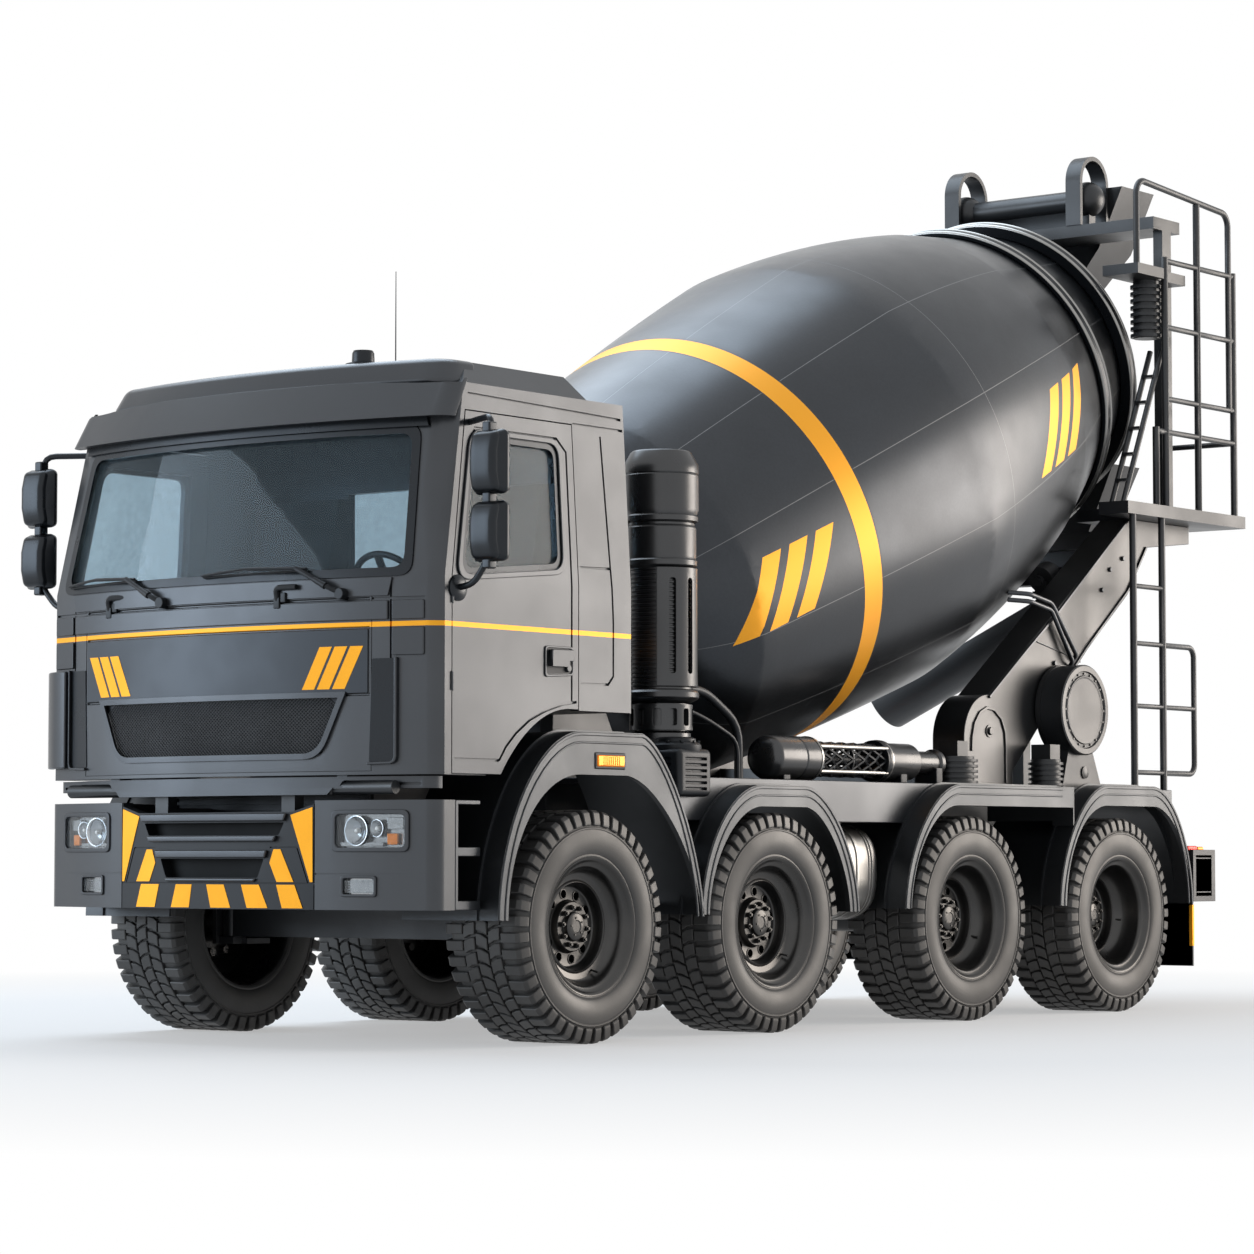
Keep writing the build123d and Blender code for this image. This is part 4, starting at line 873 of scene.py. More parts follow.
# node, material, edge radius
FINISHES = (
    ("cab_shell", cab_paint, 0.008),
    ("cab_front", cab_paint, 0.006),
    ("door_left", cab_paint, 0.005),
    ("door_right", cab_paint, 0.005),
    ("side_skirts", body_paint, 0.005),
    ("front_fenders", fender_paint, 0.006),
    ("rear_fenders", fender_paint, 0.006),
    ("grille", black_trim, 0.0),
    ("cab_glass", window_glass, 0.0),
    ("door_glass_left", window_glass, 0.0),
    ("door_glass_right", window_glass, 0.0),
    ("dashboard", black_trim, 0.006),
    ("seats", seat_cloth, 0.03),
    ("cab_steps", body_paint, 0.004),
    ("drum_drive", chassis_paint, 0.005),
    ("drum", drum_paint, 0.004),
    ("drum_rings", black_gloss, 0.010),
    ("drum_rollers", cast_iron, 0.004),
    ("rear_pedestal", arm_paint, 0.006),
    ("deck_equipment", chassis_paint, 0.006),
    ("platform", chassis_paint, 0.0),
    ("ladders", chassis_paint, 0.0),
    ("top_frame", chassis_paint, 0.006),
    ("hopper", chassis_paint, 0.003),
    ("chute_swivel", chassis_paint, 0.003),
    ("discharge_chute", chassis_paint, 0.002),
    ("rear_end", chassis_paint, 0.005),
    ("frame", chassis_paint, 0.004),
    ("front_axles", chassis_paint, 0.006),
    ("rear_axles", chassis_paint, 0.006),
    ("leaf_springs", cast_iron, 0.002),
    ("engine", cast_iron, 0.02),
)


SEAMS = {"cab_shell": seam_shell, "cab_front": seam_front, "door_left": lambda piece: seam_door(piece, 1),
         "door_right": lambda piece: seam_door(piece, -1)}


def finish_packed_pieces():
    for node, material, bevel in FINISHES:
        dressed(node, material, bevel, SEAMS.get(node))
    for axle in (1, 2):
        for side in SIDES:
            dressed(f"knuckle_{axle}_{side}", cast_iron, 0.003)


# ---------------------------------------------------------------- wheels
LUGS = 44
LUG_WIDTH = 0.046
BLOCKS = 48


def tyre_carcass():
    r, w = TYRE_RADIUS, TYRE_HALF
    profile = [(0.301, w - 0.030), (0.308, w - 0.018), (0.318, w - 0.014), (0.326, w - 0.016), (0.332, w - 0.010),
               (0.350, w - 0.004), (0.375, w), (0.400, w), (0.425, w - 0.003), (0.437, w - 0.006), (0.440, w - 0.003),
               (0.446, w - 0.003), (0.449, w - 0.009), (0.462, w - 0.014), (0.485, w - 0.024), (0.500, w - 0.040),
               (r - 0.018, w - 0.065), (r - 0.016, 0.06)]
    back = [(radius, -height) for radius, height in reversed(profile)]
    return moved(lathe(profile + back, 88), ACROSS)


def shoulder_lugs():
    """The blocks that wrap over one shoulder of the tread."""
    r, w = TYRE_RADIUS, TYRE_HALF
    outline = [(0.110, r - 0.020), (0.110, r - 0.001), (w - 0.028, r), (w - 0.010, r - 0.012), (w - 0.001, 0.470),
               (w - 0.002, 0.455), (w - 0.022, 0.452)]
    lug = raised(sheet_of(outline, LUG_WIDTH, 0.0035, 1), -LUG_WIDTH / 2)
    return around(moved(lug, FORWARDS), LUGS, "X")


def centre_blocks(x0, x1, shift, skew):
    """One row of blocks round the middle of the tread."""
    r = TYRE_RADIUS
    half = math.pi * r / BLOCKS - 0.0065
    outline = [(x0, -half - skew), (x0, half - skew), ((x0 + x1) / 2, half + 0.006), (x1, half + skew),
               (x1, -half + skew), ((x0 + x1) / 2, -half + 0.006)]
    piece = raised(sheet_of(outline, 0.022, 0.003, 1), r - 0.0225)
    return around(moved(piece, Matrix.Rotation(shift * math.tau / BLOCKS, 4, "X")), BLOCKS, "X")


def model_tyre():
    right = shoulder_lugs()
    left = moved(mirrored(right), Matrix.Rotation(math.pi / LUGS, 4, "X"))
    rows = [centre_blocks(-0.103, -0.040, 0.25, 0.010), centre_blocks(-0.031, 0.031, 0.0, -0.012),
            centre_blocks(0.040, 0.103, 0.6, 0.010)]
    return joined([tyre_carcass(), right, left] + rows)


DEEPEST_DISC = 0.060


def rim_profile(disc):
    """Front flange, dish, disc and hub, then the back of the barrel, as (radius, distance outwards)."""
    s = disc - DEEPEST_DISC
    front = [(0.3005, 0.170), (0.3005, 0.186), (0.311, 0.196), (0.315, 0.203), (0.311, 0.209), (0.303, 0.207),
             (0.296, 0.198), (0.287, 0.187), (0.276, 0.184), (0.268, 0.178), (0.263, 0.160), (0.258, 0.145 + s * 0.4),
             (0.246, 0.128 + s * 0.6), (0.236, 0.122 + s * 0.8), (0.212, 0.117 + s), (0.206, 0.123 + s),
             (0.200, 0.125 + s), (0.195, 0.119 + s), (0.190, 0.096 + s), (0.184, 0.074 + s), (0.176, 0.068 + s),
             (0.122, 0.068 + s), (0.116, 0.074 + s), (0.114, 0.096 + s), (0.109, 0.102 + s), (0.068, 0.102 + s),
             (0.064, 0.108 + s), (0.063, 0.120 + s), (0.056, 0.126 + s), (0.030, 0.128 + s), (0.026, 0.124 + s),
             (0.0, 0.124 + s)]
    back = [(0.0, 0.030 + s), (0.150, 0.030 + s), (0.190, 0.040 + s), (0.270, 0.060 + s), (0.286, 0.040 + s),
            (0.288, -0.160), (0.296, -0.188), (0.306, -0.198), (0.312, -0.192), (0.3005, -0.180)]
    return back[::-1], front


def ring_of_rods(reach, low, high, radius, sides, bevel=0.0, count=10):
    """Round bars along the axis, evenly spaced on a circle."""
    return around(rod((0, reach, low), (0, reach, high), radius, sides, bevel), count)


HOLE_REACH, NUT_REACH = 0.149, 0.088


def model_rim(disc):
    back, front = rim_profile(disc)
    dish = lathe([(0.3005, 0.168)] + front, 72)
    rear = lathe(back, 72)
    sleeve = lathe([(0.3005, -0.180), (0.3005, 0.170)], 72)
    dish = joined([dish, sleeve])
    s = disc - DEEPEST_DISC
    dish = cut(dish, ring_of_rods(HOLE_REACH, 0, 0.2, 0.020, 20))
    pad = ring_of_rods(HOLE_REACH, 0.066 + s, 0.0715 + s, 0.0245, 20, 0.002)
    pad = cut(pad, ring_of_rods(HOLE_REACH, 0.060 + s, 0.074 + s, 0.020, 20))
    nut = ring_of_rods(NUT_REACH, 0.100 + s, 0.121 + s, 0.0125, 6, 0.002)
    stud = ring_of_rods(NUT_REACH, 0.118 + s, 0.129 + s, 0.007, 10, 0.001)
    cap = ring_of_rods(0.040, 0.126 + s, 0.131 + s, 0.005, 8, count=5)
    valve = rod((0.225, 0, 0.118 + s), (0.238, 0, 0.155 + s), 0.005, 10, 0.001)
    return moved(joined([dish, rear, pad, nut, stud, cap, valve]), ACROSS)


def put_wheels():
    tyre = model_tyre()
    discs = {1: 0.060, 2: 0.060, 3: 0.010, 4: -0.020}
    rims = {disc: model_rim(disc) for disc in dict.fromkeys(discs.values())}
    for axle, disc in discs.items():
        for side, sign in SIDES.items():
            place = Matrix.Translation((sign * WHEEL_X, FIRST_AXLE + AXLES[axle - 1], WHEEL_Z))
            if sign < 0:
                place = place @ FLIP
            turn = Matrix.Rotation(0.31 * axle + 0.2 * sign, 4, "X")
            body = f"wheel_{axle}_{side}"
            piece = done(copy_of(tyre, place @ turn), f"tyre_{axle}_{side}_tread", body, rubber, 32)
            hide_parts(f"tyre_{axle}_{side}")
            piece = done(copy_of(rims[disc], place @ turn), f"rim_{axle}_{side}_dish", body, rim_metal, 40)
            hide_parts(f"rim_{axle}_{side}")
    for spare in [tyre] + list(rims.values()):
        bpy.data.objects.remove(spare)


finish_packed_pieces()
put_wheels()


# ---------------------------------------------------------------- cab: brow, roof, glass surrounds
def plan_sheet(half, corner_y, bow, rear_y, radius, z, height, count=14):
    """A plate in plan: bowed front, round corners, straight sides."""
    reach = half - radius
    curve = (reach ** 2 + bow ** 2) / (2 * bow)
    points = []
    for n in range(count + 1):
        x = -reach + 2 * reach * n / count
        points.append((x, FIRST_AXLE + corner_y - bow + curve - math.sqrt(curve ** 2 - x ** 2)))
    for n in range(1, 7):
        turn = math.pi / 2 * n / 6
        points.append((reach + radius * math.sin(turn), FIRST_AXLE + corner_y + radius * (1 - math.cos(turn))))
    points += [(half, FIRST_AXLE + rear_y), (-half, FIRST_AXLE + rear_y)]
    for n in range(6, 0, -1):
        turn = math.pi / 2 * n / 6
        points.append((-reach - radius * math.sin(turn), FIRST_AXLE + corner_y + radius * (1 - math.cos(turn))))
    return raised(sheet_of(points, height), z)


def lean_top(piece, z, back, shrink):
    """Push the vertices at a height backwards and inwards."""
    for vertex in piece.data.vertices:
        if abs(vertex.co.z - z) < 0.0005:
            vertex.co.y += back
            vertex.co.x *= shrink
    return piece


def model_visor():
    brow = lean_top(plan_sheet(1.166, -0.925, 0.135, -0.838, 0.085, 2.762, 0.178), 2.940, 0.100, 0.988)
    core = plan_sheet(1.150, -0.835, 0.120, -0.40, 0.060, 2.740, 0.240)
    return bevelled(cut(brow, core), 0.012, 3)


def model_roof():
    roof = lean_top(plan_sheet(1.060, -0.810, 0.110, -0.56, 0.140, 2.925, 0.120), 3.045, 0.050, 0.955)
    return bevelled(roof, 0.030, 4)


def model_beacon():
    return placed(lathe([(0.0, 0.0), (0.075, 0.0), (0.085, 0.010), (0.080, 0.022), (0.052, 0.030), (0.050, 0.070),
                         (0.044, 0.082), (0.0, 0.084)], 28, True), 0.52, -0.72, 3.030)


def model_antenna():
    whip = rod(at(0.60, -0.590, 3.035), at(0.60, -0.590, 3.480), 0.0032, 8, 0, 0.0018)
    base = rod(at(0.60, -0.590, 3.020), at(0.60, -0.590, 3.075), 0.011, 14, 0.003, 0.006)
    return joined([whip, base])


WINDSCREEN = taper(1.040, 0.985, 2.090, 2.700)


def model_screen_seal():
    outer = rounded(grown(WINDSCREEN, 0.034), 0.07, 5)
    inner = rounded(grown(WINDSCREEN, -0.006), 0.06, 5)
    return on_front(ring_plate(outer, inner, 0.010), -0.002, 0.003)


def model_header():
    """The dark band between the windscreen and the brow."""
    return front_sheet(taper(1.06, 1.03, 2.722, 2.800), 0.016, 0.004)


DOOR_WINDOW = ((-0.840, 2.070), (-0.137, 2.135), (-0.137, 2.690), (-0.715, 2.690))


def model_door_lip():
    outer = rounded(grown(DOOR_WINDOW, 0.030), (0.10, 0.08, 0.08, 0.09), 6)
    inner = rounded(grown(DOOR_WINDOW, 0.006), (0.09, 0.07, 0.07, 0.08), 6)
    return on_side(ring_plate(outer, inner, 0.010), 0.0, 0.0035, 3)


def model_door_seal():
    outer = rounded(grown(DOOR_WINDOW, 0.007), (0.09, 0.07, 0.07, 0.08), 6)
    inner = rounded(grown(DOOR_WINDOW, -0.022), (0.07, 0.05, 0.05, 0.06), 6)
    return on_side(ring_plate(outer, inner, 0.030), -0.030, 0.002)


def model_handle():
    dish_outer = rounded(((-0.262, 1.640), (-0.058, 1.652), (-0.058, 1.782), (-0.262, 1.782)), 0.02)
    dish_inner = rounded(((-0.252, 1.652), (-0.068, 1.662), (-0.068, 1.772), (-0.252, 1.772)), 0.016)
    return on_side(ring_plate(dish_outer, dish_inner, 0.007), 0.0, 0.003, 3)


def model_handle_pull():
    outline = rounded(((-0.232, 1.712), (-0.074, 1.714), (-0.074, 1.768), (-0.232, 1.766)), 0.012)
    pull = on_side(sheet_of(outline, 0.020), 0.004, 0.005, 3)
    lock = rod(at(CAB_SIDE, -0.098, 1.684), at(CAB_SIDE + 0.014, -0.098, 1.684), 0.016, 20, 0.003)
    return joined([pull, lock])


def model_handle_well():
    outline = rounded(((-0.250, 1.654), (-0.070, 1.664), (-0.070, 1.770), (-0.250, 1.770)), 0.014)
    return on_side(sheet_of(outline, 0.002), 0.0, 0)


# ---------------------------------------------------------------- cab: front panels, grille, vanes, wipers
def model_bonnet():
    """The raised strip above the yellow line, and the cowl above it."""
    strip_plate, cowl, corner, low_corner = [
        front_plate(outline, radius, thickness, 0.0, 0.004, 3) for outline, radius, thickness in (
            (taper(0.965, 0.965, 1.868, 1.952), 0.006, 0.012), (taper(0.965, 0.985, 1.972, 2.052), 0.006, 0.010),
            (rect(0.985, 1.868, 1.135, 1.952), 0.008, 0.010), (rect(0.985, 1.712, 1.135, 1.834), 0.008, 0.010))]
    return joined([strip_plate, cowl, both(corner), both(low_corner)])


def model_sign_panel():
    return front_plate(taper(0.866, 0.866, 1.551, 1.829), 0.004, 0.006)


def model_front_bars():
    bars = []
    for n in range(3):
        foot = 0.530 + 0.079 * n
        outline = ((foot, 1.570), (foot + 0.064, 1.570), (foot + 0.156, 1.756), (foot + 0.092, 1.756))
        bars.append(front_sheet(outline, 0.0012, 0.006, 0))
    return both(joined(bars))


GRILLE = taper(0.612, 0.722, 1.290, 1.532)


def model_grille_rim():
    outer = rounded(grown(GRILLE, 0.026), (0.09, 0.09, 0.008, 0.008), 6)
    inner = rounded(grown(GRILLE, 0.0), (0.075, 0.075, 0.004, 0.004), 6)
    return on_front(ring_plate(outer, inner, 0.014), 0.0, 0.005, 3)


MESH_PITCH, MESH_CELLS = 0.0135, 84


def model_mesh():
    """Crossed wires over the grille, from a lattice trimmed to its outline."""
    deselect()
    bpy.ops.mesh.primitive_grid_add(x_subdivisions=MESH_CELLS, y_subdivisions=MESH_CELLS,
                                    size=MESH_CELLS * MESH_PITCH, rotation=(0, 0, math.radians(45)))
    lattice = bake_place(bpy.context.object)
    moved(lattice, Matrix.Translation((0, 1.41, 0)) @ Matrix.Scale(0.86, 4, (0, 1, 0)))
    edit(lattice)
    for here, there in zip(GRILLE, GRILLE[1:] + GRILLE[:1]):
        run = Vector((there[0] - here[0], there[1] - here[1], 0)).normalized()
        bpy.ops.mesh.select_all(action="SELECT")
        bpy.ops.mesh.bisect(plane_co=(here[0], here[1], 0), plane_no=(run.y, -run.x, 0), clear_outer=True,
                            use_fill=False)
    leave()
    apply_modifier(lattice, "WIREFRAME", thickness=0.0042, use_even_offset=False, use_boundary=True)
    for vertex in lattice.data.vertices:
        x, z, out = vertex.co
        vertex.co = (x, FIRST_AXLE + front_y(x, z) + 0.004 - out, z)
    return lattice


def model_vane_shade_plates():
    # Black plates laid flat on the front beside the vanes: painted shade of the recess behind each vane.
    outline = ((0.872, 1.250), (1.000, 1.250), (1.000, 1.700), (0.886, 1.700))
    return both(front_plate(outline, (0.006, 0.03, 0.006, 0.006), 0.004, 0.0, 0.001))


def model_vane_rims():
    path = ((1.008, 1.704), (1.008, 1.272), (1.002, 1.254), (0.986, 1.246), (0.872, 1.243))
    return both(front_sheet(strip(path, 0.012), 0.020, 0.0, 0.004, 3))


def model_corner_vanes():
    """A curved deflector that stands off the front corner, on the vehicle's right only."""
    path = [(1.020, -1.055), (1.090, -1.048), (1.150, -1.022), (1.196, -0.985), (1.222, -0.940)]
    outline = strip(path, 0.022)
    vane = raised(sheet_of([(x, FIRST_AXLE + y) for x, y in outline], 0.452), 1.248)
    return moved(bevelled(vane, 0.007, 3), FLIP)


def model_wipers():
    parts = []
    for pivot_x, knee_x, tip_x, end_x in ((0.745, 0.520, -0.035, 0.560), (-0.300, -0.530, -1.000, -0.490)):
        spots = {}
        for key, x, z, lift in (("pivot", pivot_x, 1.985, 0.018), ("low", pivot_x - 0.06, 2.020, 0.048),
                                ("knee", knee_x, 2.104, 0.050), ("tip", tip_x, 2.094, 0.030),
                                ("end", end_x, 2.102, 0.030), ("grip", (tip_x + knee_x) / 2, 2.112, 0.046)):
            spots[key] = Vector((x, FIRST_AXLE + front_y(x, z) - lift, z))
        pivot, low, knee, tip, end, grip = spots.values()
        blade = [tip.lerp(end, n / 8) + Vector((0, 0.012, -0.006)) for n in range(9)]
        parts += [rod(pivot + Vector((0, 0.03, 0)), pivot + Vector((0, -0.024, 0)), 0.026, 20, 0.005),
                  bent([pivot, low, knee], 0.0115, 0.03),
                  rod(low, low.lerp(knee, 0.4), 0.017, 12, 0.004, 0.013),
                  bent([knee, grip], 0.008, 0.02),
                  bent([tip, grip + Vector((0, 0.006, 0.004)), end], 0.0065, 0.08),
                  bent(blade, 0.0065, 0.01)]
    return joined(parts)


def model_front_grips():
    parts = []
    for x in (0.395, -0.690):
        foot = Vector((x, FIRST_AXLE + front_y(x, 1.97) - 0.004, 1.962))
        top = foot + Vector((0, -0.020, 0.062))
        parts.append(bent([foot, top, top + Vector((0.115, 0.012, 0))], 0.013, 0.03))
        parts.append(block(foot + Vector((-0.018, -0.014, -0.030)), foot + Vector((0.018, 0.020, 0.020)), 0.005))
        parts.append(block(foot + Vector((0.022, -0.012, -0.004)), foot + Vector((0.052, 0.020, 0.040)), 0.005))
    return joined(parts)


# ---------------------------------------------------------------- mirrors
def mirror_shell(z0, z1):
    """A soft-cornered housing that bulges forwards."""
    x0, x1, y0, y1 = 1.302, 1.488, -0.945, -0.838
    shell = block(at(x0, y0, z0), at(x1, y1, z1), 0)
    edit(shell)
    bpy.ops.mesh.subdivide(number_cuts=2)
    leave()
    centre = at((x0 + x1) / 2, 0, (z0 + z1) / 2)
    for vertex in shell.data.vertices:
        along = abs(vertex.co.z - centre.z) / ((z1 - z0) / 2)
        if vertex.co.y < FIRST_AXLE + (y0 + y1) / 2:
            vertex.co.x += (centre.x - vertex.co.x) * 0.22
            if along > 0.9:
                vertex.co.y += 0.020
                vertex.co.z += (centre.z - vertex.co.z) * 0.05
    apply_modifier(shell, "BEVEL", width=0.028, segments=4, limit_method="ANGLE", angle_limit=math.radians(40))
    return shell


def model_mirror():
    arm = bent([at(1.150, -0.725, 2.745), at(1.390, -0.860, 2.745), at(1.390, -0.872, 2.400), at(1.390, -0.872, 2.130),
                at(1.290, -0.862, 2.018), at(1.196, -0.860, 2.006)], 0.0145, 0.06, 16)
    foot = lathe([(0, 0), (0.058, 0), (0.058, 0.008), (0.048, 0.016), (0.020, 0.020), (0, 0.020)], 28, True)
    foot = placed(moved(foot, ACROSS), CAB_SIDE - 0.002, -0.860, 2.006)
    high = mirror_shell(2.402, 2.682)
    low = mirror_shell(2.110, 2.372)
    clamps = [block(at(1.368, -0.900, z - 0.024), at(1.412, -0.848, z + 0.024), 0.007) for z in (2.387, 2.694, 2.104)]
    return joined([arm, foot, high, low] + clamps)


def model_mirror_glass():
    parts = []
    for z0, z1 in ((2.425, 2.660), (2.133, 2.350)):
        plate = sheet_of(rounded(rect(1.325, z0, 1.465, z1), 0.03), 0.003)
        parts.append(moved(plate, Matrix(((1, 0, 0, 0), (0, 0, -1, FIRST_AXLE - 0.836), (0, 1, 0, 0), (0, 0, 0, 1)))))
    return joined(parts)


# ---------------------------------------------------------------- bumper, lamps and the beam under the cab
SLOTS = (taper(0.400, 0.430, 0.934, 0.990), taper(0.282, 0.318, 0.746, 0.830))
HEAD_LAMP = rect(0.690, 0.866, 1.058, 1.036)
FOG_LAMP = rect(0.735, 0.668, 0.905, 0.752)
BUMPER_SEAMS = (
    ((0.596, 0.764), (1.165, 0.764)),
    ((0.592, 0.600), (0.592, 1.100)),
    ((0.352, 0.880), (0.500, 0.880)),
    ((0.000, 0.722), (0.590, 0.722)),
    ((0.500, 0.880), (0.560, 0.722)),
)


def front_cutter(points, depth):
    return on_front(sheet_of(points, depth + 0.05), -depth, 0)


def model_bumper():
    body = plan_sheet(1.190, -1.000, 0.150, -0.862, 0.070, 0.607, 0.478, 20)
    cut(body, plan_sheet(1.125, -0.935, 0.150, -0.500, 0.030, 0.560, 0.600, 20))
    for slot in SLOTS:
        cut(body, front_cutter(rounded(slot, 0.008), 0.120))
    notch = ((-0.470, 1.036), (0.470, 1.036), (0.590, 1.068), (0.590, 1.200), (-0.590, 1.200), (-0.590, 1.068))
    cut(body, front_cutter(notch, 0.120))
    for pocket, corner, depth in ((HEAD_LAMP, 0.030, 0.046), (FOG_LAMP, 0.014, 0.036)):
        cut(body, both(front_cutter(rounded(pocket, corner, 5), depth)))
    for path in BUMPER_SEAMS:
        cut(body, both(front_groove(path, 0.006, 0.007)))
    return bevelled(body, 0.006, 3, 30)


def model_bumper_bars():
    bars = []
    for *outline, thickness in ((0.438, 0.452, 0.996, 1.030, 0.018), (0.384, 0.399, 0.906, 0.932, 0.020),
                                (0.334, 0.345, 0.834, 0.868, 0.018), (0.268, 0.281, 0.728, 0.744, 0.014)):
        bars.append(front_sheet(taper(*outline), thickness, 0.0, 0.006, 3))
    return joined(bars)


def model_bumper_back():
    return joined([front_sheet(grown(slot, 0.02), 0.004, -0.058, 0) for slot in SLOTS])


TAPE = 0.0015
HAZARD = (
    ((0.466, 1.022), (0.584, 1.056), (0.586, 0.728), (0.572, 0.728)),
    ((0.374, 0.872), (0.412, 0.872), (0.484, 0.728), (0.392, 0.728), (0.352, 0.812)),
)
HAZARD_FOOT = (
    ((-0.484, 0.613), (-0.355, 0.613), (-0.326, 0.716), (-0.450, 0.716)),
    ((-0.244, 0.613), (-0.128, 0.613), (-0.111, 0.716), (-0.213, 0.716)),
    ((0.008, 0.613), (0.127, 0.613), (0.087, 0.716), (-0.019, 0.716)),
    ((0.224, 0.613), (0.342, 0.613), (0.292, 0.716), (0.190, 0.716)),
    ((0.422, 0.613), (0.534, 0.613), (0.489, 0.716), (0.390, 0.716)),
)


def model_hazard_stripes():
    sides = [both(front_sheet(outline[::-1], TAPE, 0.0, 0)) for outline in HAZARD]
    feet = [front_sheet(outline, TAPE, 0.0, 0) for outline in HAZARD_FOOT]
    return joined(sides + feet)


def model_lamp_rims():
    parts = []
    for pocket, corner, width in ((HEAD_LAMP, 0.032, 0.013), (FOG_LAMP, 0.016, 0.008)):
        ring = ring_plate(rounded(grown(pocket, width * 0.5), corner, 5),
                          rounded(grown(pocket, -width), corner * 0.8, 5), 0.012)
        parts.append(on_front(ring, -0.006, 0.004, 3))
    return both(joined(parts))


def model_lamp_wells():
    parts = [front_plate(grown(pocket, -0.002), 0.02, 0.003, -0.044 + shift, 0)
             for pocket, shift in ((HEAD_LAMP, 0.0), (FOG_LAMP, 0.010))]
    return both(joined(parts))


def reflector(x, z, radius, depth):
    """A small polished bowl that faces forwards."""
    bowl = lathe([(0.006, -depth), (radius * 0.45, -depth * 0.86), (radius * 0.78, -depth * 0.52), (radius, 0.0),
                  (radius * 1.08, 0.0), (radius * 1.08, -0.004), (radius * 0.82, -depth * 0.6),
                  (0.006, -depth * 1.1)], 28)
    return placed(bowl, x, front_y(x, z) + 0.008, z, FORWARDS)


HIGH_BOWL, LOW_BOWL = (0.800, 0.952), (0.902, 0.962)


def model_reflectors():
    parts = [reflector(*HIGH_BOWL, 0.062, 0.030), reflector(*LOW_BOWL, 0.036, 0.024),
             front_plate(rect(0.718, 0.884, 0.930, 0.902), 0.005, 0.018, -0.034, 0.003),
             front_plate(rect(0.944, 0.958, 1.024, 1.010), 0.008, 0.014, -0.034, 0.004)]
    parts += [front_sheet(rect(0.750, z, 0.890, z + 0.0045), 0.010, -0.030, 0.001)
              for z in (0.684, 0.695, 0.706, 0.717, 0.728)]
    return both(joined(parts))


def model_bulbs():
    bulb = lathe([(0.0, 0.016), (0.008, 0.014), (0.012, 0.006), (0.012, -0.008), (0.0, -0.010)], 16)
    bulbs = [placed(piece, x, front_y(x, z) + inset, z, FORWARDS) for piece, (x, z), inset in (
        (copy_of(bulb), HIGH_BOWL, 0.022), (copy_of(bulb), LOW_BOWL, 0.022), (bulb, LOW_BOWL, 0.023))]
    return both(joined(bulbs))


def model_indicators():
    return both(front_plate(rect(0.948, 0.890, 0.998, 0.940), 0.006, 0.016, -0.032, 0.004, 3))


def model_lamp_lenses():
    return both(joined([front_plate(grown(pocket, -0.012), corner, 0.003, -0.010, 0.001, steps=5)
                        for pocket, corner in ((HEAD_LAMP, 0.026), (FOG_LAMP, 0.012))]))


def model_under_beam():
    beam = plan_sheet(1.150, -0.980, 0.148, -0.900, 0.060, 1.136, 0.052, 18)
    cut(beam, plan_sheet(1.090, -0.920, 0.148, -0.500, 0.030, 1.100, 0.120, 18))
    for outline in (((0.700, 1.146), (0.960, 1.146), (0.960, 1.172), (0.720, 1.172)),
                    rect(0.985, 1.150, 1.100, 1.162)):
        cut(beam, both(front_plate(outline, 0.010, 0.10, -0.050, 0)))
    lip = front_sheet(taper(0.640, 0.670, 1.110, 1.140), 0.030, -0.052, 0)
    return bevelled(joined([beam, lip]), 0.005, 3)


def model_shroud():
    """The slatted cover behind the gap between cab and bumper."""
    frame_piece = block(at(-0.620, -0.780, 0.960), at(0.620, -0.740, 1.125), 0.010, 3)
    for slat in range(5):
        cut(frame_piece, block(at(-0.580, -0.80, 0.980 + 0.028 * slat), at(0.580, -0.765, 0.994 + 0.028 * slat), 0))
    return frame_piece


# ---------------------------------------------------------------- put the cab together
def put_pair(left, name, body, material, smooth=35):
    """A left piece and its mirror image, each riding on its own side's body."""
    right = mirrored(left)
    return [done(left, name + "_left", body.format(side="left"), material, smooth),
            done(right, name + "_right", body.format(side="right"), material, smooth)]


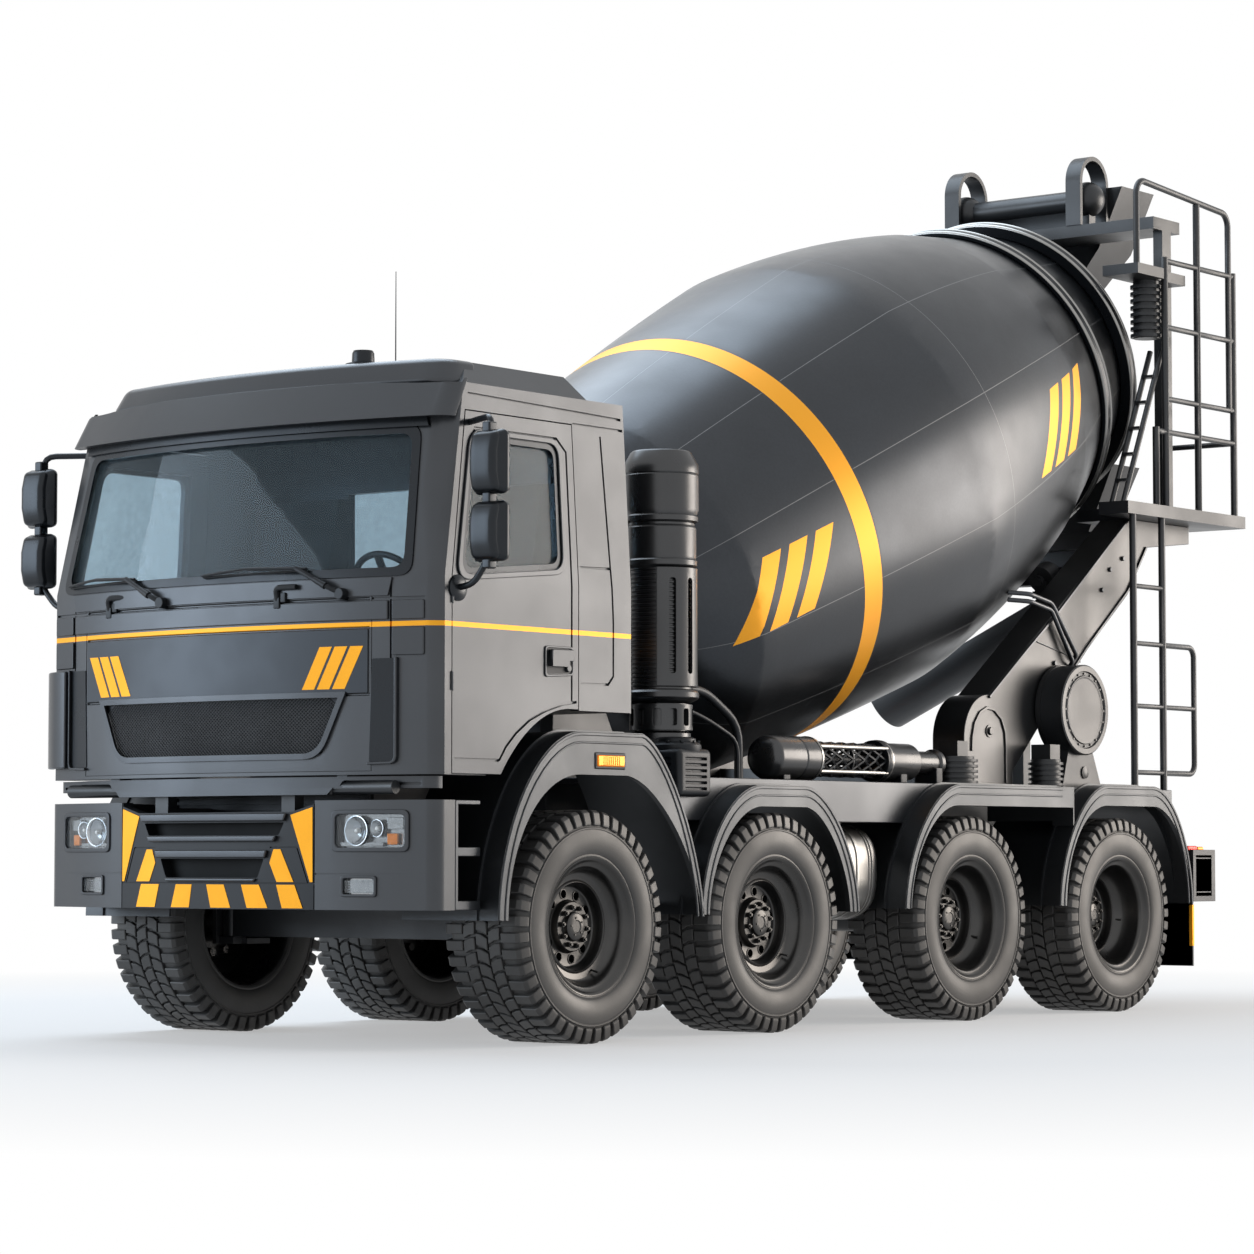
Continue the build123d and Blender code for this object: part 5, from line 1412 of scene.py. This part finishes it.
def put_cab():
    visor = done(model_visor(), "brow", "cab", body_paint)
    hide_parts("sun_visor")
    done(model_roof(), "roof_cap", "cab", body_paint)
    done(model_beacon(), "roof_beacon", "cab", black_gloss)
    done(model_antenna(), "whip_aerial", "cab", black_gloss)
    done(model_screen_seal(), "windscreen_seal", "cab", black_gloss)
    done(model_header(), "windscreen_header", "cab", black_gloss)
    done(model_bonnet(), "front_strips", "cab", body_paint)
    done(model_sign_panel(), "front_flap_panel", "cab", sign_paint)
    done(model_front_bars(), "front_bars", "cab", yellow_tape)
    done(model_grille_rim(), "grille_rim", "cab", body_paint)
    done(model_mesh(), "grille_mesh", "cab", mesh_metal)
    # flat black plates that paint the shade of the recess beside the front vanes
    done(model_vane_shade_plates(), "vane_insets", "cab", black_gloss)
    done(model_vane_rims(), "vane_rims", "cab", body_paint)
    done(model_corner_vanes(), "corner_vane", "cab", body_paint)
    done(model_wipers(), "wipers", "cab", black_trim)
    done(model_front_grips(), "front_grips", "cab", black_trim)
    done(model_under_beam(), "under_beam", "cab", body_paint)
    put_pair(model_door_lip(), "window_lip", "door_{side}_body", cab_paint)
    put_pair(model_door_seal(), "window_seal", "door_{side}_body", black_gloss)
    put_pair(model_handle(), "handle_rim", "door_{side}_body", cab_paint)
    put_pair(model_handle_well(), "handle_well", "door_{side}_body", black_trim)
    put_pair(model_handle_pull(), "handle_pull", "door_{side}_body", cab_paint)
    for piece, side in zip(put_pair(model_mirror(), "mirror_housings", "door_{side}_body", black_gloss, 50), SIDES):
        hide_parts(f"door_mirror_{side}")
    put_pair(model_mirror_glass(), "mirror_plates", "door_{side}_body", mirror_silver)
    bumper = done(model_bumper(), "bumper_shell", "chassis", bumper_paint, 30)
    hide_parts("bumper")
    done(model_bumper_bars(), "bumper_bars", "chassis", body_paint)
    done(model_bumper_back(), "bumper_backing", "chassis", deep_black)
    done(model_shroud(), "radiator_shroud", "chassis", black_trim)
    done(model_hazard_stripes(), "hazard_stripes", "chassis", yellow_tape)
    done(model_lamp_rims(), "lamp_rims", "chassis", body_paint)
    done(model_lamp_wells(), "lamp_wells", "chassis", lamp_silver)
    done(model_reflectors(), "lamp_reflectors", "chassis", lamp_silver)
    done(model_bulbs(), "lamp_bulbs", "chassis", bulb_white)
    done(model_indicators(), "front_indicators", "chassis", amber_lens)
    lenses = done(model_lamp_lenses(), "lamp_lenses", "chassis", clear_lens)
    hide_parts("headlamps")


put_cab()


# ---------------------------------------------------------------- stack, tanks, shaft guard and deck pieces
STACK_X, STACK_Y = 0.985, 0.880
UNIT_X, UNIT_Z = 1.000, 1.325


def model_stack():
    """A capped silencer: shoulders, seam rings and a finely ribbed body."""
    profile = [(0.0, 1.215), (0.128, 1.215), (0.128, 1.345), (0.140, 1.360), (0.140, 1.420), (0.128, 1.432),
               (0.128, 1.560), (0.172, 1.580), (0.180, 1.590), (0.180, 1.612), (0.172, 1.622)]
    for rib in range(27):
        z = 1.628 + 0.0212 * rib
        profile += [(0.150, z), (0.150, z + 0.0085), (0.158, z + 0.0115), (0.158, z + 0.0185)]
    profile += [(0.164, 2.206), (0.172, 2.214), (0.172, 2.236), (0.165, 2.244), (0.168, 2.256), (0.168, 2.392),
                (0.160, 2.404), (0.160, 2.414), (0.176, 2.424), (0.176, 2.446), (0.170, 2.454), (0.180, 2.480),
                (0.180, 2.640), (0.176, 2.646), (0.180, 2.652), (0.180, 2.690), (0.146, 2.752), (0.134, 2.760),
                (0.0, 2.760)]
    return placed(lathe(profile, 56), STACK_X, STACK_Y, 0)


def model_stack_guard():
    """A curved plate with tall slots, in front of the ribs on the outer side."""
    guard = lathe([(0.164, 1.640), (0.174, 1.640), (0.174, 2.200), (0.164, 2.200), (0.164, 1.640)], 56)
    cut(guard, block((-0.3, -0.3, 1.5), (0.085, 0.3, 2.4), 0))
    for turn in (-34, 0, 34):
        slot = block((0.12, -0.016, 1.700), (0.22, 0.016, 2.150), 0.012, 3)
        cut(guard, moved(slot, Matrix.Rotation(math.radians(turn), 4, "Z")))
    low = lathe([(0.130, 1.435), (0.150, 1.435), (0.150, 1.556), (0.130, 1.556), (0.130, 1.435)], 56)
    for turn in range(0, 360, 30):
        slot = block((0.11, -0.020, 1.455), (0.18, 0.020, 1.536), 0.010, 3)
        cut(low, moved(slot, Matrix.Rotation(math.radians(turn), 4, "Z")))
    return placed(joined([bevelled(guard, 0.003), bevelled(low, 0.003)]), STACK_X, STACK_Y, 0)


def model_blower():
    """Round-topped housing at the stack's foot, with slats on its outer face."""
    x0, x1, y0, y1 = 0.985, 1.230, 0.700, 0.960
    body = block(at(x0, y0, 1.120), at(x1, y1, 1.345), 0.030, 4)
    for slat in range(6):
        z = 1.150 + 0.028 * slat
        cut(body, block(at(x1 - 0.018, y0 + 0.045, z), at(x1 + 0.02, y1 - 0.045, z + 0.015), 0.005))
        cut(body, block(at(x0 + 0.05, y0 - 0.02, z), at(x1 - 0.05, y0 + 0.016, z + 0.015), 0.005))
    lid = lathe([(0.0, 1.330), (0.118, 1.330), (0.122, 1.345), (0.122, 1.362), (0.114, 1.372), (0.096, 1.378),
                 (0.096, 1.392), (0.080, 1.400), (0.0, 1.400)], 40)
    placed(lid, (x0 + x1) / 2, (y0 + y1) / 2, 0)
    bolts = around(block((0.104, -0.007, 1.372), (0.116, 0.007, 1.384), 0.002), 10)
    return joined([body, lid, placed(bolts, (x0 + x1) / 2, (y0 + y1) / 2, 0)])


def model_stack_pipe():
    path = [at(STACK_X, STACK_Y + 0.13, 1.64), at(STACK_X, STACK_Y + 0.33, 1.64), at(STACK_X, STACK_Y + 0.62, 1.48),
            at(STACK_X, STACK_Y + 0.62, 1.215)]
    hose = bent([path[0] + Vector((0.02, 0, -0.09)), at(STACK_X + 0.04, STACK_Y + 0.30, 1.50),
                 at(STACK_X + 0.04, STACK_Y + 0.56, 1.40), at(STACK_X + 0.04, STACK_Y + 0.56, 1.22)], 0.011, 0.09)
    return joined([bent(path, 0.022, 0.11, 16), hose])


TANK_OUTLINE = ((0.640, 0.530), (1.128, 0.530), (1.128, 0.998), (0.640, 0.998))


def across_plate(piece, y):
    """Stand a plate drawn in XY across the vehicle, its near face at y."""
    return placed(piece, 0, y, 0, FORWARDS)


def model_tank():
    body = across_plate(sheet_of(rounded(TANK_OUTLINE, 0.200, 12), 0.394), 2.508)
    inner = block(at(0.432, 2.114, 0.62), at(0.90, 2.508, 0.90), 0.03, 3)
    return both(joined([bevelled(body, 0.045, 5), inner]))


def model_tank_straps():
    straps = [across_plate(bevelled(ring_plate(rounded(grown(TANK_OUTLINE, 0.006), 0.205, 12),
                                               rounded(grown(TANK_OUTLINE, -0.004), 0.196, 12), width), 0.003), y)
              for y, width in ((2.196, 0.024), (2.236, 0.012), (2.330, 0.030), (2.420, 0.012), (2.456, 0.024))]
    cap = rod(at(0.84, 2.20, 0.985), at(0.84, 2.20, 1.008), 0.050, 24, 0.004)
    return both(joined(straps + [cap]))


def model_unit_ends():
    """Turned housings at both ends of the shaft guard."""
    front = lathe([(0.0, 1.670), (0.070, 1.672), (0.100, 1.690), (0.110, 1.715), (0.110, 1.905), (0.104, 1.915),
                   (0.110, 1.925), (0.110, 2.030), (0.0, 2.036)], 44)
    rear = lathe([(0.0, 2.640), (0.104, 2.644), (0.108, 2.652), (0.108, 2.690), (0.098, 2.700), (0.095, 2.712),
                  (0.095, 2.940), (0.086, 2.956), (0.062, 2.962), (0.060, 2.972), (0.060, 3.170), (0.072, 3.178),
                  (0.072, 3.205), (0.0, 3.210)], 44)
    for piece in (front, rear):
        moved(piece, LENGTHWISE)
    return placed(joined([front, rear]), UNIT_X, 0, UNIT_Z)


def model_unit_feet():
    return joined([block(at(UNIT_X - 0.07, y, 1.215), at(UNIT_X + 0.07, y + 0.06, 1.300), 0.008)
                   for y in (1.760, 2.790, 3.120)])


def model_shaft_guard():
    """Open lattice between two bright rims, round the drive shaft."""
    parts = [rod((0, 0, 2.036), (0, 0, 2.644), 0.028, 20)]
    for z0, z1, radius in ((2.036, 2.052, 0.112), (2.628, 2.642, 0.106), (2.336, 2.346, 0.090)):
        parts.append(lathe([(radius - 0.018, z0), (radius, z0), (radius, z1), (radius - 0.018, z1),
                            (radius - 0.018, z0)], 32))
    turns, stations = 9, 6
    for n in range(turns):
        for m in range(stations):
            z0 = 2.050 + 0.097 * m
            for step in (-1, 1):
                a, b = math.tau * n / turns, math.tau * (n + step) / turns
                start = (0.084 * math.cos(a), 0.084 * math.sin(a), z0)
                end = (0.084 * math.cos(b), 0.084 * math.sin(b), z0 + 0.097)
                parts.append(rod(start, end, 0.0075, 5))
    guard = moved(joined(parts), LENGTHWISE)
    return placed(guard, UNIT_X, 0, UNIT_Z)


def model_guard_rails():
    rails = [rod(at(UNIT_X + 0.075, 2.020, UNIT_Z + dz), at(UNIT_X + 0.075, 2.650, UNIT_Z + dz), 0.012, 12)
             for dz in (-0.062, 0.062)]
    rings = []
    for y, radius in ((2.030, 0.113), (2.660, 0.109)):
        ring = lathe([(radius - 0.016, 0), (radius, 0.004), (radius, 0.014), (radius - 0.016, 0.018),
                      (radius - 0.016, 0)], 36)
        rings.append(placed(ring, UNIT_X, y, UNIT_Z, LENGTHWISE))
    return joined(rails + rings)


DISC_Y, DISC_Z, DISC_FACE = 4.510, 1.640, 1.120


def model_disc_cover():
    """Raised rim, flat middle and a ring of bolts on the round tank's outer face."""
    profile = [(0.0, 0.004), (0.170, 0.004), (0.176, 0.008), (0.184, 0.008), (0.190, -0.002), (0.206, -0.002),
               (0.212, 0.010), (0.240, 0.010), (0.247, 0.004), (0.247, -0.012), (0.0, -0.012)]
    cover = lathe(profile, 64)
    bolts = around(rod((0.198, 0, -0.003), (0.198, 0, 0.007), 0.0065, 6), 20)
    face = Matrix.Translation(at(DISC_FACE, DISC_Y, DISC_Z)) @ ACROSS
    rim = moved(lathe([(0.240, -0.150), (0.249, -0.150), (0.249, -0.128), (0.240, -0.128), (0.240, -0.150)], 64), face)
    stop = placed(lathe([(0.0, 0.012), (0.024, 0.012), (0.030, 0.008), (0.034, 0.008), (0.034, -0.004),
                         (0.0, -0.004)], 24), 1.090, 4.560, 1.300, ACROSS)
    return both(joined([moved(cover, face), moved(bolts, face), rim, stop]))


def model_foot_arch():
    """Raised arched band with a bolt and a slot on each pedestal foot."""
    face = 0.950
    path = [(3.640, 1.400), (3.644, 1.470), (3.668, 1.548), (3.720, 1.606), (3.790, 1.634), (3.860, 1.626),
            (3.930, 1.580), (3.968, 1.510), (3.976, 1.430), (3.976, 1.235)]
    band = strip(path, 0.016)
    plate = placed(sheet_of(band, 0.014, 0.003), face - 0.004, 0, 0, SIDEWAYS)
    bolt = rod(at(face - 0.004, 3.815, 1.510), at(face + 0.018, 3.815, 1.510), 0.022, 6, 0.003)
    washer = rod(at(face - 0.004, 3.815, 1.510), at(face + 0.006, 3.815, 1.510), 0.034, 24, 0.002)
    low = block(at(face - 0.004, 3.690, 1.216), at(face + 0.010, 3.930, 1.236), 0.004)
    return both(joined([plate, bolt, washer, low]))


def model_arm_ribs():
    """Raised flanges along the arms, with the bent bracket and its pins."""
    face = 0.950
    upper = [(3.810, 1.690), (4.180, 1.950), (4.540, 2.196), (5.250, 2.718)]
    lower = [(4.340, 1.590), (4.820, 2.000), (5.270, 2.340), (5.480, 2.600)]
    turned = Matrix.Translation(at(face - 0.004, 0, 0)) @ SIDEWAYS
    flanges = [moved(sheet_of(strip(path, 0.014), 0.016, 0.003), turned) for path in (upper, lower)]
    seam = moved(sheet_of(strip([(4.300, 2.010), (4.700, 1.935)], 0.006), 0.010, 0.002), turned)
    bracket = joined([bent([at(0.900, 4.090, 2.270 - drop), at(0.985, 4.180, 2.262 - drop),
                            at(0.985, 4.400, 2.226 - drop), at(0.985, 4.660 - drop, 1.950 - drop),
                            at(0.950, 4.670 - drop, 1.920 - drop)], 0.013, 0.03)
                      for drop in (0.0, 0.040)])
    pins = [rod(at(face - 0.004, y, z), at(face + 0.014, y, z), 0.014, 6, 0.002)
            for y, z in ((4.990, 2.330), (5.220, 2.520), (4.480, 1.900), (5.080, 2.450))]
    return both(joined(flanges + [seam, bracket] + pins))


FENDER_EDGE = 1.270
ARCH_STEPS = 14
# For each arch: its front edge and shoulder, rear shoulder and edge, top, how round each leg is, and its foot
FLARES = ((-0.672, -0.090, 0.360, 0.832, 1.402, 1.85, 1.5, 0.560),
          (-0.612, -0.130, 0.240, 0.692, 1.182, 1.85, 1.7, 0.570),
          (-0.633, -0.120, 0.995, 0.995, 1.212, 1.75, 1.75, 0.580),
          (-0.648, -0.150, 0.350, 0.778, 1.228, 1.75, 1.85, 0.580))


def arch_leg(edge, shoulder, foot, top, power):
    """Points up one curved leg of a wheel arch, from its foot to its shoulder."""
    points = []
    for n in range(ARCH_STEPS + 1):
        turn = math.pi / 2 * n / ARCH_STEPS
        across = math.cos(turn) ** (2 / power) if n < ARCH_STEPS else 0.0
        up = math.sin(turn) ** (2 / power)
        points.append((shoulder + (edge - shoulder) * across, foot + (top - foot) * up))
    return points


def model_fender_beads():
    """Two raised beads along each fender's flange."""
    beads = []
    for axle, (front, front_top, rear_top, rear, top, front_power, rear_power, foot) in zip(AXLES, FLARES):
        for inset, width in ((0.012, 0.016), (0.050, 0.010)):
            path = arch_leg(front + inset, front_top, foot, top - inset, front_power)
            if rear_top < rear:
                path += arch_leg(rear - inset, rear_top, foot, top - inset, rear_power)[::-1]
            else:
                path.append((rear - 0.120, top - inset))
            band = strip([(axle + y, z) for y, z in path], width)
            beads.append(placed(sheet_of(band, 0.010, 0.004, 3), FENDER_EDGE, 0, 0, SIDEWAYS))
    return both(joined(beads))


def model_fender_lamps():
    """Small amber lamps in dark frames on the first arches."""
    frame = block(at(1.262, 0.004, 1.232), at(1.280, 0.232, 1.310), 0.008, 3)
    return both(frame)


def model_fender_lenses():
    lens = block(at(1.270, 0.018, 1.244), at(1.286, 0.218, 1.298), 0.010, 3)
    ribs = row(block(at(1.284, 0.060, 1.252), at(1.288, 0.066, 1.290), 0.001), 9, (0, 0.014, 0))
    return both(joined([lens, ribs]))


# ---------------------------------------------------------------- tail lamps, drum rings and the top
LAMP_Y, LAMP_REAR = 5.430, 5.680


def model_lamp_boxes():
    """Rounded lamp boxes with a raised frame on their rear faces."""
    box = block(at(1.130, LAMP_Y, 0.590), at(1.270, LAMP_REAR - 0.012, 0.880), 0.030, 5)
    for z in (0.640, 0.830):
        cut(box, block(at(1.262, LAMP_Y + 0.02, z), at(1.28, LAMP_REAR - 0.05, z + 0.006), 0))
    beam = block(at(0, 5.502, 0.602), at(1.132, 5.598, 0.718), 0.010, 3)
    flap = block(at(0.862, 5.434, 0.232), at(1.258, 5.446, 0.598), 0.003)
    ribs = row(block(at(0.90, 5.444, 0.250), at(0.912, 5.450, 0.580), 0.001), 13, (0.0275, 0, 0))
    posts = [block(at(0.352, 5.502, 0.720), at(0.428, 5.598, 0.900), 0.004)]
    return both(joined([box, beam, flap, ribs] + posts))


def model_lamp_frames():
    """Light frames round the tail lamps."""
    outline = rounded(((1.136, 0.598), (1.268, 0.598), (1.268, 0.874), (1.136, 0.874)), 0.024, 5)
    inner = rounded(((1.152, 0.614), (1.252, 0.614), (1.252, 0.858), (1.152, 0.858)), 0.014, 5)
    return both(across_plate(bevelled(ring_plate(outline, inner, 0.024), 0.005, 3), LAMP_REAR))


def model_tail_lenses():
    cells = [block(at(1.154, LAMP_REAR - 0.014, z0), at(1.250, LAMP_REAR - 0.004, z1), 0.004, 3)
             for z0, z1 in ((0.616, 0.690), (0.694, 0.772))]
    cells.append(block(at(1.140, LAMP_Y + 0.010, 0.872), at(1.232, LAMP_Y + 0.120, 0.902), 0.010, 3))
    return both(joined(cells))


def model_tail_signals():
    cells = [block(at(1.154, LAMP_REAR - 0.014, 0.776), at(1.250, LAMP_REAR - 0.004, 0.856), 0.004, 3)]
    cells.append(block(at(1.140, LAMP_Y + 0.122, 0.872), at(1.232, LAMP_Y + 0.190, 0.898), 0.010, 3))
    return both(joined(cells))


def model_flap_markers():
    return both(block(at(1.240, 5.430, 0.342), at(1.262, 5.450, 0.572), 0.003))


RING_STATIONS = ((2.860, 0.955), (3.320, 0.870))


def on_drum(piece):
    """Put a piece drawn about +Z on the drum's axis, with its base at the drum joint."""
    return moved(piece, axis_frame(DRUM_ORIGIN, DRUM_AXIS, DRUM_UP))


def model_ring_highlight_beads():
    """Raised steel beads on the rolling rings, coloured bright to paint the highlight along the rings."""
    beads = []
    for station, radius in RING_STATIONS:
        for shift in (-0.024, 0.024):
            s = station + shift
            beads.append(on_drum(lathe([(radius - 0.006, s - 0.010), (radius + 0.002, s - 0.008), (radius + 0.006, s),
                                        (radius + 0.002, s + 0.008), (radius - 0.006, s + 0.010),
                                        (radius - 0.006, s - 0.010)], 120)))
    return joined(beads)


def put_rear():
    stack = done(model_stack(), "silencer", "chassis", stack_metal, 30)
    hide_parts("exhaust_stack")
    done(model_stack_guard(), "silencer_guard", "chassis", stack_metal, 30)
    done(model_blower(), "blower", "chassis", black_trim)
    done(model_stack_pipe(), "stack_pipes", "chassis", black_trim, 60)
    tanks = done(model_tank(), "round_tanks", "chassis", tank_metal, 40)
    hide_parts("fuel_tanks")
    done(model_tank_straps(), "tank_straps", "chassis", tank_metal, 40)
    unit = done(model_unit_ends(), "shaft_housings", "chassis", stack_metal, 40)
    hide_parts("hydraulic_unit")
    done(model_unit_feet(), "shaft_feet", "chassis", black_trim)
    done(model_shaft_guard(), "shaft_guard", "chassis", black_trim, 50)
    done(model_guard_rails(), "guard_rails", "chassis", steel, 50)
    done(model_disc_cover(), "disc_covers", "chassis", arm_paint, 40)
    done(model_foot_arch(), "foot_arches", "chassis", arm_paint, 40)
    done(model_arm_ribs(), "arm_ribs", "chassis", body_paint, 40)
    done(model_fender_beads(), "fender_beads", "chassis", fender_paint, 50)
    done(model_fender_lamps(), "fender_lamps", "chassis", black_trim)
    done(model_fender_lenses(), "fender_lenses", "chassis", amber_lens)
    done(model_lamp_boxes(), "tail_boxes", "chassis", black_trim)
    done(model_lamp_frames(), "tail_frames", "chassis", steel, 40)
    done(model_tail_lenses(), "tail_lenses", "chassis", red_lens)
    done(model_tail_signals(), "tail_signals", "chassis", amber_lens)
    done(model_flap_markers(), "flap_markers", "chassis", yellow_tape)
    # steel beads coloured bright to paint the rolling rings' highlight
    done(model_ring_highlight_beads(), "ring_beads", "drum_body", steel, 50)


put_rear()


# ---------------------------------------------------------------- floor, light and camera
def seen_directly(tree):
    """1 for what the camera, a polished surface or a pane of glass sees."""
    path = tree.nodes.new("ShaderNodeLightPath")
    first = math_node(tree, "MAXIMUM", path.outputs["Is Camera Ray"], path.outputs["Is Glossy Ray"])
    return math_node(tree, "MAXIMUM", first, path.outputs["Is Transmission Ray"])


def make_floor():
    deselect()
    bpy.ops.mesh.primitive_plane_add(size=160, location=(0, 0, 0))
    floor = bpy.context.object
    floor.name = "studio_floor"
    finish = Finish("pale_floor", None, Metallic=0.0, Roughness=0.7)
    finish.shader.inputs["Base Color"].default_value = (0.80, 0.80, 0.80, 1)
    finish.shader.inputs["Specular IOR Level"].default_value = 0.1
    tree = finish.tree
    glow = tree.nodes.new("ShaderNodeEmission")
    glow.inputs["Color"].default_value = (1, 1, 1, 1)
    distance = tree.nodes.new("ShaderNodeVectorMath")
    distance.operation = "LENGTH"
    far = remap(tree, distance.outputs["Value"], 4.5, 9.5, 0.42, 1.0)
    factor = math_node(tree, "MULTIPLY", far, seen_directly(tree))
    mixed = tree.nodes.new("ShaderNodeMixShader")
    link(tree, [(finish.place, distance.inputs[0]), (factor, mixed.inputs[0]),
                (finish.shader.outputs[0], mixed.inputs[1]), (glow.outputs[0], mixed.inputs[2]),
                (mixed.outputs[0], tree.nodes["Material Output"].inputs["Surface"])])
    floor.data.materials.append(finish.material)


def make_world():
    world = bpy.data.worlds.new("studio")
    bpy.context.scene.world = world
    world.use_nodes = True
    tree = world.node_tree
    base = tree.nodes["Background"]
    base.inputs["Color"].default_value = (0.78, 0.84, 0.92, 1)
    base.inputs["Strength"].default_value = 0.40
    seen = tree.nodes.new("ShaderNodeBackground")
    seen.inputs["Color"].default_value = (1, 1, 1, 1)
    mixed = tree.nodes.new("ShaderNodeMixShader")
    link(tree, [(seen_directly(tree), mixed.inputs[0]), (base.outputs[0], mixed.inputs[1]),
                (seen.outputs[0], mixed.inputs[2]), (mixed.outputs[0], tree.nodes["World Output"].inputs["Surface"])])


def soft_light(name, place, target, size, power, color):
    deselect()
    bpy.ops.object.light_add(type="AREA", location=place)
    lamp = bpy.context.object
    lamp.name = name
    lamp.rotation_euler = (Vector(place) - Vector(target)).to_track_quat("Z", "Y").to_euler()
    lamp.data.shape = "RECTANGLE"
    lamp.data.size, lamp.data.size_y = size
    lamp.data.energy = power
    lamp.data.color = color
    return lamp


CAMERA_PLACE = (11.986, -16.125, 0.832)
CAMERA_AZIMUTH = 37.82
CAMERA_PITCH = 3.449
CAMERA_LENS = 110.18


def make_camera():
    deselect()
    turn = (math.radians(90 + CAMERA_PITCH), 0, math.radians(CAMERA_AZIMUTH))
    bpy.ops.object.camera_add(location=CAMERA_PLACE, rotation=turn)
    camera = bpy.context.object
    camera.data.lens = CAMERA_LENS
    camera.data.sensor_width = 36
    camera.data.clip_end = 300
    bpy.context.scene.camera = camera


make_floor()
make_world()
soft_light("side_light", (9.5, 12.0, 4.0), (0, 0, 1.8), (9, 7), 1750, (1.0, 0.90, 0.80))
soft_light("top_light", (-4, 0, 11), (0, 0, 2), (9, 9), 1000, (0.74, 0.87, 1.0))
soft_light("front_light", (-9.5, -13.0, 4.5), (0, -2, 1.5), (9, 7), 1000, (0.74, 0.87, 1.0))
make_camera()

bpy.context.scene.view_settings.view_transform = "Standard"
